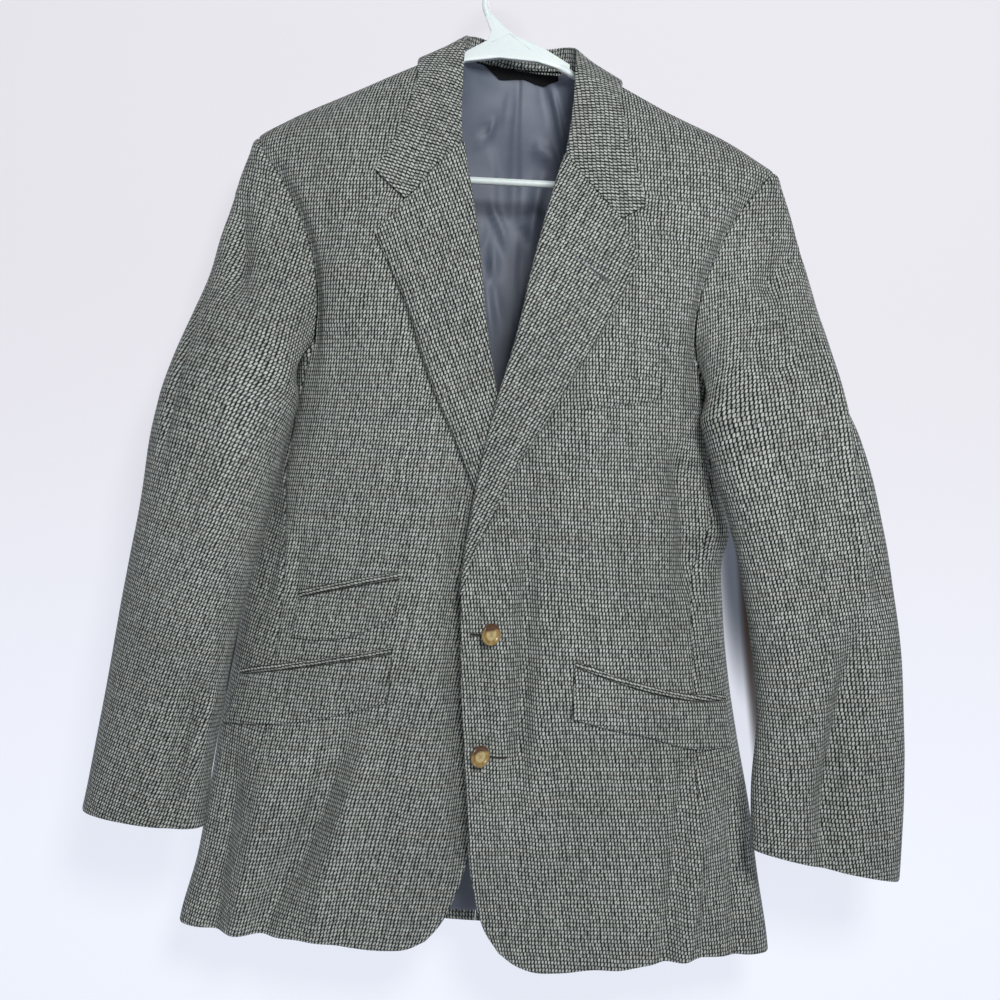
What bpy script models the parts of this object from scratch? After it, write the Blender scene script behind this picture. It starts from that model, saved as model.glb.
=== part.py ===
"""Tweed hacking jacket hanging on a plain plastic hanger.

The model is in metres with +Z up.  The origin is the inside top of the hanger's
hook, the front of the jacket faces -Y, and left and right are the wearer's, so
the wearer's left is +X.  The tables below are in millimetres; x is measured
outward from the jacket's centre line, to whichever side the row belongs.
"""
import math

import bmesh
import bpy
import numpy as np

MM = 0.001
LEFT, RIGHT = 1, -1
SIDES = {LEFT: "left", RIGHT: "right"}

# ---------------------------------------------------------------- driving sizes
CENTRE_X = 12.7          # the jacket hangs this far off the hanger's centre
WALL = 2.0               # tweed with its canvas
LINING_WALL = 1.0
LINING_CLEAR = 2.4       # between the back and its lining
SEAM = 0.25              # each edge is held back this far from the seam line
NECK_GAP = 1.2           # between the collar's seam and the neckline
GORGE_STEP = 5.0         # the front is cut back this far where its gorge begins
STAND_DEPTH = 4.8        # the collar's stand starts this far inside the fronts
SECTION_ROUND = 2.3      # 2 is an ellipse, more is squarer
LAPEL_RISE = 4.6         # outer face of a lapel above the front it lies on
LAPEL_ROLL_REACH = 2.6   # the lapel's turned edge stands this far past the roll
LAPEL_ROLL_DROP = 3.4    # and ends this far below the lapel's face
LAPEL_SWELL = 1.2
FLAP_RISE = 3.3
FLAP_LIFT = 1.6          # how much further a flap's lower edge stands off
FLAP_WALL = 1.8
JETTING_WALL = 1.6
LABEL_WALL = 0.6
UNDERLAP = 9.6           # how far the right front passes beneath the left lapel
BUTTONED_LAP = 4.4       # and beneath the buttoned edge below it
NECK_TIP_X = 66.0        # inner end of the shoulder seam
SHOULDER_TIP_X = 250.0
UNDERARM_Z = -388.0
BACK_HEM_Z = -928.0
LINING_HEM_Z = -917.0
NECK_REACH = 44.0        # half the lining's width at the neck
BUTTON_DIAMETER = 20.0
BUTTON_THICKNESS = 4.2
HOOK_RADIUS = 25.5       # to the middle of the rod
HOOK_ROD = 3.3
HANGER_ROD = 3.5
HANGER_THICKNESS = 6.4

# Half widths of the jacket from its centre line, at each height.
HALF_WIDTHS = (
    # z,   right, left
    (-50, 30, 24),
    (-62, 46, 38),
    (-76, 70, 55),
    (-91, 100, 76),
    (-104, 126, 103),
    (-128, 173, 151),
    (-156, 228, 213),
    (-170, 251, 237),
    (-182, 260, 256),
    (-200, 262, 262),
    (-254, 247, 247),
    (-300, 231, 231),
    (-350, 214, 214),
    (-390, 206, 206),
    (-430, 205, 206),
    (-470, 211, 212),
    (-500, 217, 220),
    (-528, 224, 228),
    (-558, 231, 222),
    (-600, 239, 225),
    (-650, 246, 231),
    (-720, 255, 244),
    (-790, 263, 260),
    (-865, 272, 273),
    (-925, 285, 285),
    (-970, 289, 289),
)

# Distance of the front, the back and the side fold from the hanger's plane.
DEPTHS = (
    # z, front, back, side
    (-50, -4, 40, 0),
    (-80, -16, 48, 0),
    (-105, -28, 54, 0),
    (-150, -48, 60, 0),
    (-200, -64, 65, 2),
    (-300, -82, 70, 6),
    (-400, -82, 66, 12),
    (-500, -75, 58, 14),
    (-565, -71, 54, 14),
    (-650, -71, 52, 12),
    (-750, -63, 48, 8),
    (-850, -51, 42, 4),
    (-970, -38, 34, 0),
)

# Soft folds of the body cloth: a ridge where height is positive, else a trough.
FOLDS = (
    # side, x at top, z top, x at foot, z foot, width, height
    (LEFT, 12, -560, 22, -880, 16, 4.0),
    (LEFT, 38, -590, 52, -900, 18, -3.0),
    (LEFT, 196, -560, 205, -925, 20, -5.0),
    (RIGHT, 150, -740, 140, -950, 14, -6.0),
    (RIGHT, 112, -760, 104, -950, 20, 4.0),
)

# Seams on the front face: distance from the centre line at each height.
SIDE_SEAM = {
    LEFT: ((-368, 183), (-440, 197), (-520, 202), (-602, 189), (-654, 193),
           (-737, 200), (-838, 211), (-931, 217)),
    RIGHT: ((-368, 183), (-440, 197), (-520, 204), (-602, 198), (-654, 201),
            (-738, 207), (-823, 220), (-934, 236)),
}
BACK_SEAM = ((-362, 196), (-440, 184), (-520, 178), (-602, 175), (-738, 190),
             (-838, 203), (-928, 214))
FRONT_ARMHOLE = ((-368, 183), (-330, 181), (-297, 186), (-254, 202),
                 (-215, 223), (-190, 240))
BACK_ARMHOLE = ((-362, 196), (-340, 194), (-300, 200), (-254, 213),
                (-215, 231), (-190, 243))

# Hem and front edge, from the middle of the rounded front corner.
FRONT_HEM = {
    LEFT: ((24, -934), (40, -945), (58, -951), (80, -951), (115, -946),
           (155, -942), (217, -931)),
    RIGHT: ((46, -928), (62, -935), (84, -938), (118, -937), (141, -933),
            (190, -934), (236, -934)),
}
FRONT_EDGE = {
    LEFT: ((24, -934), (9, -912), (0, -884), (-7, -852), (-11, -802),
           (-17, -744), (-24, -674), (-28, -600)),
    RIGHT: ((46, -928), (33, -912), (22, -888), (12, -858), (2, -820),
            (-14, -760), (-18, -674), (-19, -600)),
}
# Where the lapel turns, from the front edge up to the neck.
ROLL_LINE = {
    LEFT: ((-28, -600), (-25, -560), (-19, -505), (-5, -426), (13, -350),
           (21, -302), (30, -257), (39, -216), (46.5, -186)),
    RIGHT: ((-19, -600), (-14, -560), (-6, -505), (5, -426), (20, -352),
            (24.5, -322), (34, -260), (43.5, -214), (50.5, -180)),
}
LAPEL_EDGE = {
    LEFT: ((-27, -597), (-20, -564), (0, -517), (22, -467), (44, -430),
           (53, -411), (83, -357), (103, -317), (108.5, -303), (117.5, -280)),
    RIGHT: ((0, -548), (9, -524), (22, -500), (40, -461), (62.5, -413),
            (83, -361), (88.5, -343), (108, -303), (125, -269)),
}
LAPEL_TOP = {
    LEFT: ((46.5, -187), (68, -214), (87, -234), (99.5, -246), (106, -261),
           (117.5, -280)),
    RIGHT: ((50.5, -180), (73, -205), (90, -229), (100, -240), (111, -255),
            (125, -269)),
}
LAPEL_FOOT_Z = {LEFT: -597, RIGHT: -548}

# Collar, station by station from the centre back to the notch.  The seam and
# the roll are points in space; the leaf's edge lies on the jacket.
COLLAR = {
    LEFT: (
        # seam x,  y,   z, roll x, y,   z, edge x, edge z, face, swell
        (0, 44, -75, 0, 46, -53, 0, -96, "back", 4),
        (22, 42, -76, 24, 44, -54, 34, -97, "back", 4),
        (42, 33, -78, 42, 34, -54.5, 62, -99, "back", 3),
        (56, 18, -81, 52, 18, -60, 84, -101, "back", 1),
        (62, 0, -87, 53, -2, -71, 96, -101, "front", 0),
        (62, -20, -104, 52, -24, -92, 96, -126, "front", 1),
        (61, -29, -126, 51.5, -38, -122, 100, -150, "front", 2),
        (60, -40, -152, 49.5, -51, -152, 106, -178, "front", 2),
        (54, -50, -178, 46.5, -62, -184, 122, -230, "front", 2),
    ),
    RIGHT: (
        (0, 44, -75, 0, 46, -53, 0, -96, "back", 4),
        (22, 42, -74, 24, 44, -51.5, 34, -93, "back", 4),
        (42, 33, -73, 42, 34, -49.5, 61, -91, "back", 3),
        (57, 18, -73, 52, 18, -54, 84, -90, "back", 1),
        (62, 0, -76, 54, -2, -62, 97, -90, "front", 0),
        (64, -16, -98, 54.5, -24, -90, 97, -117, "front", 1),
        (64, -27, -120, 54, -36, -120, 102, -140, "front", 2),
        (63, -37, -146, 53, -49, -148, 109, -166, "front", 2),
        (58, -47, -172, 51, -60, -178, 128, -211, "front", 2),
    ),
}
COLLAR_NOTCH = {LEFT: (99.5, -245), RIGHT: (99.5, -236)}
NOTCH_SHARE = 0.68       # how far along the collar's end the notch lies
COLLAR_STOPS = (0.0, 0.14, 0.32, 0.62, 1.0)    # seam, stand, roll, swell and edge
COLLAR_END = 2.2         # stations over which the collar turns into its cut end

# Pockets, on the front face: the four edges of each flap.
FLAPS = {
    "ticket_flap": dict(
        side=RIGHT,
        top=((85, -589), (133, -600), (182, -612.5)),
        bottom=((89, -621), (127, -641), (165, -647), (184, -646)),
        jetting=((85, -582), (133, -593), (182, -606)), jetting_width=6.0),
    "right_hip_flap": dict(
        side=RIGHT,
        top=((90, -658), (150, -672), (236, -690)),
        bottom=((92, -700), (142, -717), (198, -729), (246, -734)),
        jetting=((90, -652), (150, -666), (236, -684)), jetting_width=5.5),
    "left_hip_flap": dict(
        side=LEFT,
        top=((79.5, -661), (137, -679), (185, -689), (228, -691)),
        bottom=((80, -706), (113, -714), (148, -720), (197, -732), (234, -731)),
        jetting=((79.5, -655), (137, -673), (185, -683), (228, -685)),
        jetting_width=5.5),
}
WELT_TOP = ((69, -399), (98, -395), (144, -383))
WELT_BOTTOM = ((71.5, -422), (99, -417), (145, -407))
BUTTONS = {"upper_button": (0.8, -631), "lower_button": (-3.2, -743)}

# The neck label's upper and lower edge, from the wearer's right to the left.
LABEL_TOP = ((-36.0, -77.0), (44.5, -84.5))
LABEL_FOOT = ((-21.0, -88.5), (24.0, -92.5))

# Sleeves below the armhole: the fold next to the body, the outer fold, and
# half the thickness between them.
SLEEVES = {
    LEFT: (
        # z, inner x, inner y, outer x, outer y, half thickness
        (-430, 188, -67, 340, -10, 42),
        (-460, 198, -68, 350, -12, 40),
        (-520, 217, -67, 367, -18, 37),
        (-580, 233, -64, 379, -24, 35),
        (-640, 245.5, -62, 388, -30, 33),
        (-704, 251.5, -61, 394, -34, 31),
        (-770, 250.5, -60, 397, -38, 28),
        (-838, 253, -60, 395, -42, 26),
    ),
    RIGHT: (
        (-430, 196, -67, 319, -15, 51),
        (-460, 204, -68, 324, -16, 50),
        (-520, 215.5, -68, 330, -18, 47),
        (-565, 224, -68, 336, -20, 45),
        (-634, 236.5, -67, 346, -22, 42),
        (-709, 246.5, -66, 356, -26, 40),
        (-770, 252.5, -65, 365, -30, 37),
        (-824, 254.5, -63, 373, -34, 34),
    ),
}
CUFF_DROP = {LEFT: (20, -6), RIGHT: (0, 6)}    # rise of inner and outer fold
SLEEVE_ROUND = 2.25
# How the sleeve head leaves its seam: across it at the underarm and at the tip,
# outward at the underarm, and down below the armhole's front.
HEAD_LEAVE_UNDER, HEAD_LEAVE_TIP, HEAD_PUSH, HEAD_DROOP = 4.0, 44.0, 20.0, 34.0

# Grid sizes, shared by the panels that meet at a seam.
SEAM_ROWS = 11
ARMHOLE_ROWS = 6
UNDERARM_COLUMNS = 6
SHOULDER_COLUMNS = 9
NECK_COLUMNS = 3
COLLAR_COLUMNS = 32
ARMHOLE_STEPS = np.array([0.0, 0.21, 0.41, 0.60, 0.78, 0.92, 1.0])
SLEEVE_HEAD_ROWS = 6
SLEEVE_ROWS = 6

TWEED = ("tweed", (0.20, 0.22, 0.21), 0.92, 0.0)
LINING = ("satin_lining", (0.13, 0.15, 0.19), 0.38, 0.0)
BLACK = ("black_label", (0.01, 0.01, 0.012), 0.7, 0.0)
HORN = ("horn", (0.42, 0.33, 0.18), 0.35, 0.0)
PLASTIC = ("white_plastic", (0.82, 0.87, 0.86), 0.35, 0.0)


# ------------------------------------------------------------ smooth interpolation
def smooth_columns(rows, where):
    """Columns of a table, read smoothly at values of its first column."""
    table = np.array(rows, dtype=float)
    table = table[np.argsort(table[:, 0])]
    key, values = table[:, 0], table[:, 1:]
    slopes = np.gradient(values, key, axis=0)
    where = np.clip(np.asarray(where, dtype=float), key[0], key[-1])
    low = np.clip(np.searchsorted(key, where, side="right") - 1, 0, len(key) - 2)
    step = (key[low + 1] - key[low])[:, None]
    t = ((where - key[low]) / (key[low + 1] - key[low]))[:, None]
    return ((1 + 2 * t) * (1 - t) ** 2 * values[low]
            + t * (1 - t) ** 2 * step * slopes[low]
            + t * t * (3 - 2 * t) * values[low + 1]
            + t * t * (t - 1) * step * slopes[low + 1])


def smooth_path(points, samples=240):
    """A smooth line through points, as many close samples of even spacing."""
    points = np.array(points, dtype=float)
    chord = np.r_[0, np.cumsum(np.linalg.norm(np.diff(points, axis=0), axis=1))]
    rows = np.column_stack([chord, points])
    line = smooth_columns(rows, np.linspace(0, chord[-1], samples))
    return line


def along(path, fraction):
    """Points at fractions of a path's length."""
    length = np.r_[0, np.cumsum(np.linalg.norm(np.diff(path, axis=0), axis=1))]
    where = np.asarray(fraction) * length[-1]
    return np.column_stack([np.interp(where, length, path[:, i])
                            for i in range(path.shape[1])])


def blend(low, high, value):
    """0 below low, 1 above high and a soft step between them."""
    t = np.clip((value - low) / (high - low), 0, 1)
    return t * t * (3 - 2 * t)


# ------------------------------------------------------------------ the body's skin
class Skin:
    """The outer skin of one half of the body, by girth from the centre front."""
    TOP, FOOT, STEP = -52.0, -968.0, 2.0
    ANGLES, FRACTIONS = 121, 161

    def __init__(self, side):
        self.heights = np.arange(self.FOOT, self.TOP + self.STEP, self.STEP)
        widths = smooth_columns(HALF_WIDTHS, self.heights)
        self.half = widths[:, 1 if side == LEFT else 0]
        front, back, fold = smooth_columns(DEPTHS, self.heights).T
        angle = np.linspace(0, math.pi, self.ANGLES)
        power = 2 / SECTION_ROUND
        reach = np.abs(np.sin(angle)) ** power
        depth = np.abs(np.cos(angle)) ** power
        x = self.half[:, None] * reach
        face = np.where(angle[None, :] < math.pi / 2, front[:, None], back[:, None])
        y = fold[:, None] + (face - fold[:, None]) * depth
        steps = np.hypot(np.diff(x, axis=1), np.diff(y, axis=1))
        self.girths = np.concatenate([np.zeros((len(x), 1)),
                                      np.cumsum(steps, axis=1)], axis=1)
        self.total = self.girths[:, -1]
        self.quarter = self.girths[:, self.ANGLES // 2]
        even = np.linspace(0, 1, self.FRACTIONS)
        self.x = np.array([np.interp(even * g[-1], g, row)
                           for g, row in zip(self.girths, x)])
        self.y = np.array([np.interp(even * g[-1], g, row)
                           for g, row in zip(self.girths, y)])

    def row(self, z):
        place = (np.clip(z, self.FOOT, self.TOP) - self.FOOT) / self.STEP
        low = np.clip(place.astype(int), 0, len(self.heights) - 2)
        return low, place - low

    def read(self, grid, z, column):
        """A value of a (height, column) grid, between its own rows."""
        low, part = self.row(z)
        if grid.ndim == 1:
            return grid[low] * (1 - part) + grid[low + 1] * part
        column = np.clip(column, 0, grid.shape[1] - 1.000001)
        left = column.astype(int)
        share = column - left
        lower = grid[low, left] * (1 - share) + grid[low, left + 1] * share
        upper = grid[low + 1, left] * (1 - share) + grid[low + 1, left + 1] * share
        return lower * (1 - part) + upper * part

    def point(self, s, z):
        column = s / self.read(self.total, z, None) * (self.FRACTIONS - 1)
        return self.read(self.x, z, column), self.read(self.y, z, column)

    def girth_at(self, x, z, face="front"):
        """The girth at which the skin is x from the centre line."""
        share = np.clip(x / self.read(self.half, z, None), -1, 1)
        angle = np.arcsin(np.abs(share) ** (SECTION_ROUND / 2)) * np.sign(share)
        if face == "back":
            angle = math.pi - angle
        column = np.abs(angle) / math.pi * (self.ANGLES - 1)
        return self.read(self.girths, z, column) * np.sign(angle)


SKIN = {side: Skin(side) for side in SIDES}


def fold_height(side, s, z):
    """How far the cloth stands off the plain form, from the table of folds."""
    height = np.zeros_like(s)
    for fold_side, x_top, z_top, x_foot, z_foot, width, rise in FOLDS:
        t = np.clip((z - z_top) / (z_foot - z_top), 0, 1)
        middle = x_top + (x_foot - x_top) * t
        swell = np.sin(math.pi * np.clip(t * 0.55, 0, 0.55)) ** 1.5
        outward = s if fold_side == side else -s
        height += rise * swell * np.exp(-((outward - middle) / width) ** 2)
    return height


def skin_point(side, s, z):
    """A point of the plain body; a negative girth is past the centre front."""
    x, y = SKIN[side].point(np.abs(s), z)
    far_x, far_y = SKIN[-side].point(np.abs(s), z)
    past = s < 0
    x = np.where(past, -far_x, x)
    y = np.where(past, far_y, y)
    return np.column_stack([CENTRE_X + side * x, y, z])


def skin_normal(side, s, z, reach=2.5):
    across = skin_point(side, s + reach, z) - skin_point(side, s - reach, z)
    upward = skin_point(side, s, z + reach) - skin_point(side, s, z - reach)
    normal = np.cross(across, upward) * side
    return normal / np.linalg.norm(normal, axis=1)[:, None]


def on_body(side, s, z, rise):
    """A point rise millimetres outside the body's cloth."""
    rise = rise + fold_height(side, s, z)
    return skin_point(side, s, z) + skin_normal(side, s, z) * rise[:, None]


# ------------------------------------------------------------------ lines on the body
def skin_line(side, path, face="front", shift=0.0):
    """A line of (x, z) points as a function that gives girth and height."""
    def line(t):
        x, z = along(path, t).T
        return np.column_stack([SKIN[side].girth_at(x, z, face) + shift, z])
    return line


def ridge_z(side, x):
    """Height of the shoulder line at a distance from the centre line."""
    skin = SKIN[side]
    rising = skin.heights >= -200
    return np.interp(x, skin.half[rising][::-1], skin.heights[rising][::-1])


def shoulder_line(side):
    """The shoulder seam, from the neck to the tip."""
    x = np.linspace(NECK_TIP_X, SHOULDER_TIP_X, 200)
    return np.column_stack([x, ridge_z(side, x)])


def armhole(side, face):
    """Half of an armhole, from the side seam up to the shoulder tip."""
    rows = FRONT_ARMHOLE if face == "front" else BACK_ARMHOLE
    tip = shoulder_line(side)[-1]
    return smooth_path([(x, z) for z, x in rows] + [tuple(tip)])


def underarm(side, drop=0.0):
    """The armhole's lowest stretch, in girth and height, front seam to back."""
    zero = np.zeros(1)
    start = skin_line(side, armhole(side, "front"))(zero)[0]
    end = skin_line(side, armhole(side, "back"), "back")(zero)[0]
    middle = ((start[0] + end[0]) / 2, UNDERARM_Z)
    quarter = ((start[0] * 3 + end[0]) / 4, (start[1] + 3 * UNDERARM_Z) / 4)
    three = ((start[0] + end[0] * 3) / 4, (end[1] + 3 * UNDERARM_Z) / 4)
    line = smooth_path([start, quarter, middle, three, end])
    return line + np.array([0.0, drop])


def neckline(side, face):
    """Where the collar is sewn on, as (x, z) from the centre outward."""
    rows = [(row[0], row[2]) for row in COLLAR[side] if row[8] == face]
    if face == "back":
        return [(x, z - NECK_GAP) for x, z in rows]
    line = [(x + NECK_GAP, z) for x, z in reversed(rows)]
    x, z = line[0]
    return [(x + GORGE_STEP, z - 2 * GORGE_STEP)] + line[1:]


def joined(paths, stops):
    """A boundary made of several lines, each but the last ending at its stop."""
    def line(t):
        t = np.asarray(t, dtype=float)
        points = along(paths[0], np.clip(t / stops[0], 0, 1))
        for path, low, high in zip(paths[1:], stops, [*stops[1:], 1.0]):
            part = along(path, np.clip((t - low) / (high - low), 0, 1))
            points = np.where((t > low)[:, None], part, points)
        return points
    return line


def single(path):
    return lambda t: along(path, t)


def coons(bottom, top, left, right, u, v):
    """A patch between four boundary lines, in girth and height."""
    zero, one = np.zeros(1), np.ones(1)
    u1, v1 = u[:, None], v[:, None]
    edges = ((1 - v1) * bottom(u) + v1 * top(u)
             + (1 - u1) * left(v) + u1 * right(v))
    corners = ((1 - u1) * (1 - v1) * bottom(zero) + u1 * (1 - v1) * bottom(one)
               + (1 - u1) * v1 * top(zero) + u1 * v1 * top(one))
    return edges - corners


# ------------------------------------------------------------------ meshes
def material(look):
    name, colour, roughness, metallic = look
    made = bpy.data.materials.get(name)
    if made is None:
        made = bpy.data.materials.new(name)
        made.use_nodes = True
        shader = made.node_tree.nodes["Principled BSDF"]
        shader.inputs["Base Color"].default_value = (*colour, 1.0)
        shader.inputs["Roughness"].default_value = roughness
        shader.inputs["Metallic"].default_value = metallic
    return made


def add_object(name, mesh, look):
    made = bpy.data.objects.new(name, mesh)
    mesh.materials.append(material(look))
    for face in mesh.polygons:
        face.use_smooth = True
    mesh.set_sharp_from_angle(angle=math.radians(40))
    JACKET.objects.link(made)
    return made


def cloth(name, place, columns, rows, look=TWEED, wall=WALL, across=None, up=None):
    """A sheet with a wall: place(u, v, rise) gives the points of both faces.

    The grid is extruded once and its two layers are put on the outer and the
    inner face, so neighbours that share an edge share its direction too.
    """
    mesh = bpy.data.meshes.new(name)
    form = bmesh.new()
    bmesh.ops.create_grid(form, x_segments=columns, y_segments=rows, size=0.5)
    inner = list(form.verts)
    grown = bmesh.ops.extrude_face_region(form, geom=list(form.faces))
    outer = [item for item in grown["geom"] if isinstance(item, bmesh.types.BMVert)]
    for layer, rise in ((inner, -wall), (outer, 0.0)):
        u = np.array([vert.co.x + 0.5 for vert in layer])
        v = np.array([vert.co.y + 0.5 for vert in layer])
        if across is not None:
            u = np.interp(u, np.linspace(0, 1, len(across)), across)
        if up is not None:
            v = np.interp(v, np.linspace(0, 1, len(up)), up)
        for vert, point in zip(layer, place(u, v, np.full(len(u), rise)) * MM):
            vert.co = point
    bmesh.ops.recalc_face_normals(form, faces=form.faces)
    form.to_mesh(mesh)
    form.free()
    return add_object(name, mesh, look)


# ------------------------------------------------------------------ body panels
def front_sink(side, s, z):
    """The right front passes beneath the left one, and beneath its lapel."""
    if side == LEFT:
        return np.zeros_like(s)
    depth = BUTTONED_LAP + (UNDERLAP - BUTTONED_LAP) * blend(-640, -600, z)
    return depth * (1 - blend(38, 70, s)) * (1 - blend(-418, -350, z))


SEAM_SHARE = SEAM_ROWS / (SEAM_ROWS + ARMHOLE_ROWS)
PANEL_ROWS = np.r_[np.linspace(0, SEAM_SHARE, SEAM_ROWS + 1),
                   SEAM_SHARE + (1 - SEAM_SHARE) * ARMHOLE_STEPS[1:]]


def upward(rows):
    """A seam table of (z, x) rows as a smooth (x, z) line from the hem up."""
    return smooth_path([(x, z) for z, x in reversed(rows)])


def front_panel(side):
    top = shoulder_line(side)
    edge = np.vstack([smooth_path(FRONT_EDGE[side]), smooth_path(ROLL_LINE[side])[1:]])
    neck = smooth_path(neckline(side, "front")[:-1] + [tuple(top[0])], 60)
    inner = joined([edge, np.vstack([edge[-1], neck[0]]), neck],
                   [PANEL_ROWS[-5], PANEL_ROWS[-4]])
    outer = joined([upward(SIDE_SEAM[side]), armhole(side, "front")], [SEAM_SHARE])

    def place(u, v, rise):
        x, z = coons(single(smooth_path(FRONT_HEM[side])), single(top), inner, outer,
                     u, v).T
        s = SKIN[side].girth_at(x, z) - SEAM
        return on_body(side, s, z, rise - front_sink(side, s, z))
    return cloth(f"{SIDES[side]}_front", place, SHOULDER_COLUMNS,
                 len(PANEL_ROWS) - 1, up=PANEL_ROWS)


def side_body(side):
    front_seam = skin_line(side, upward(SIDE_SEAM[side]), "front", SEAM)
    back_seam = skin_line(side, upward(BACK_SEAM), "back", -SEAM)
    ends = front_seam(np.zeros(1))[0], back_seam(np.zeros(1))[0]
    hem = smooth_path([ends[0], (ends[0] + ends[1]) / 2, ends[1]])

    def place(u, v, rise):
        s, z = coons(single(hem), single(underarm(side, -SEAM)),
                     front_seam, back_seam, u, v).T
        return on_body(side, s, z, rise)
    return cloth(f"{SIDES[side]}_side_body", place, UNDERARM_COLUMNS, SEAM_ROWS)


def back_panel(side):
    neck = neckline(side, "back")
    shoulder = shoulder_line(side)
    centre = np.array([(0.0, BACK_HEM_Z), neck[0]])
    outer = joined([upward(BACK_SEAM), armhole(side, "back")], [SEAM_SHARE])
    hem = smooth_path([centre[0], (120.0, BACK_HEM_Z), (BACK_SEAM[-1][::-1])])
    neck_share = NECK_COLUMNS / (NECK_COLUMNS + SHOULDER_COLUMNS)
    top = joined([smooth_path(neck + [tuple(shoulder[0])]), shoulder], [neck_share])

    def place(u, v, rise):
        x, z = coons(single(hem), top, single(centre), outer, u, v).T
        from_centre = np.clip(2 * u / neck_share - 1, -1, 1)
        s = SKIN[side].girth_at(x, z, "back") + SEAM * from_centre
        return on_body(side, s, z, rise)
    return cloth(f"{SIDES[side]}_back", place, NECK_COLUMNS + SHOULDER_COLUMNS,
                 len(PANEL_ROWS) - 1, up=PANEL_ROWS)


# ------------------------------------------------------------------ sleeves
class Sleeve:
    """A tube from the armhole to the cuff, by turn (0 to 1) and by row.

    The turn starts at the shoulder tip and runs down the front of the armhole,
    under the arm and up the back.
    """
    COLUMNS = 2 * ARMHOLE_ROWS + UNDERARM_COLUMNS
    TURN_ANGLES = ((0, -6), (0.165, 62), (0.333, 160), (0.41, 192), (0.5, 235),
                   (0.667, 275), (0.835, 316), (1, 354))

    def __init__(self, side):
        self.side = side
        first = ARMHOLE_ROWS / self.COLUMNS
        front = skin_line(side, armhole(side, "front")[::-1])
        back = skin_line(side, armhole(side, "back"), "back")
        self.parts = ((0.0, first, front), (first, 1 - first, single(underarm(side))),
                      (1 - first, 1.0, back))

    def seam(self, turn):
        """Girth and height of the armhole seam."""
        line = np.zeros((len(turn), 2))
        for low, high, path in self.parts:
            inside = (turn >= low) & (turn <= high)
            line[inside] = path((turn[inside] - low) / (high - low))
        return line

    def start(self, turn):
        """The seam and the direction in which the sleeve leaves it."""
        turn = np.mod(turn, 1.0)
        s, z = self.seam(turn).T
        point = on_body(self.side, s, z, np.zeros_like(s))
        before = self.seam(np.clip(turn - 0.004, 0, 1))
        after = self.seam(np.clip(turn + 0.004, 0, 1))
        course = (on_body(self.side, *after.T, np.zeros_like(s))
                  - on_body(self.side, *before.T, np.zeros_like(s)))
        normal = skin_normal(self.side, s, z)
        away = np.cross(normal, course) * self.side
        away /= np.linalg.norm(away, axis=1)[:, None]
        return point + away * 1.4 * SEAM, away

    def ring(self, turn, z_row):
        """A point of the tube below the armhole, z_row is its table height."""
        angle = np.radians(smooth_columns(self.TURN_ANGLES, turn)[:, 0])
        inner_x, inner_y, outer_x, outer_y, half = smooth_columns(
            SLEEVES[self.side], z_row).T
        middle = np.column_stack([(inner_x + outer_x) / 2, (inner_y + outer_y) / 2])
        arm = np.column_stack([(outer_x - inner_x) / 2, (outer_y - inner_y) / 2])
        length = np.linalg.norm(arm, axis=1)[:, None]
        front = np.column_stack([arm[:, 1], -arm[:, 0]]) / length * half[:, None]
        power = 2 / SLEEVE_ROUND
        cosine = np.sign(np.cos(angle)) * np.abs(np.cos(angle)) ** power
        sine = np.sign(np.sin(angle)) * np.abs(np.sin(angle)) ** power
        flat = middle + arm * cosine[:, None] + front * sine[:, None]
        drop_inner, drop_outer = CUFF_DROP[self.side]
        last = SLEEVES[self.side][-1][0]
        slant = blend(last + 220, last, z_row)
        share = (cosine + 1) / 2
        z = z_row + slant * (drop_inner * (1 - share) + drop_outer * share)
        return np.column_stack([CENTRE_X + self.side * flat[:, 0], flat[:, 1], z])

    def skin(self, turn, length):
        """length 0 to 1 is the sleeve head, 1 to 2 is the tube."""
        top, foot = SLEEVES[self.side][0][0], SLEEVES[self.side][-1][0]
        tube = np.clip(length - 1, -0.05, 1.05)
        below = self.ring(turn, top + (foot - top) * tube)
        point, away = self.start(turn)
        target = self.ring(turn, np.full(len(turn), float(top)))
        further = self.ring(turn, np.full(len(turn), top - 12.0))
        down = (further - target) / 12.0
        span = np.linalg.norm(target - point, axis=1)[:, None]
        near_tip = np.cos(turn * 2 * math.pi)[:, None] * 0.5 + 0.5
        outward = skin_normal(self.side, *self.seam(turn).T)
        droop = blend(0.18, 0.4, turn)[:, None] * np.array([0.0, 0.0, -HEAD_DROOP])
        leave = (away * (HEAD_LEAVE_UNDER + HEAD_LEAVE_TIP * near_tip ** 1.5)
                 + outward * HEAD_PUSH * (1 - near_tip) ** 3 + droop)
        arrive = down * span * (0.75 + 0.35 * near_tip)
        t = np.clip(length, -0.05, 1)[:, None]
        head = ((1 + 2 * t) * (1 - t) ** 2 * point + t * (1 - t) ** 2 * leave
                + t * t * (3 - 2 * t) * target + t * t * (t - 1) * arrive)
        return np.where((length <= 1)[:, None], head, below)

    def place(self, turn, length, rise):
        small = 0.01
        wrap = np.mod(turn, 1.0)
        point = self.skin(wrap, length)
        across = (self.skin(np.mod(turn + small, 1.0), length)
                  - self.skin(np.mod(turn - small, 1.0), length))
        upper = np.maximum(length - 0.02, 0.0)
        lower = np.minimum(length + 0.02, 2.0)
        down = self.skin(wrap, lower) - self.skin(wrap, upper)
        normal = np.cross(across, down) * self.side
        normal /= np.linalg.norm(normal, axis=1)[:, None]
        tip = blend(0.2, 0.9, np.cos(wrap * 2 * math.pi))
        near_seam = (tip * (1 - blend(0, 0.12, length)))[:, None]
        body = skin_normal(self.side, *self.seam(wrap).T)
        normal = normal * (1 - near_seam) + body * near_seam
        normal /= np.linalg.norm(normal, axis=1)[:, None]
        return point + normal * rise[:, None]


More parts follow.
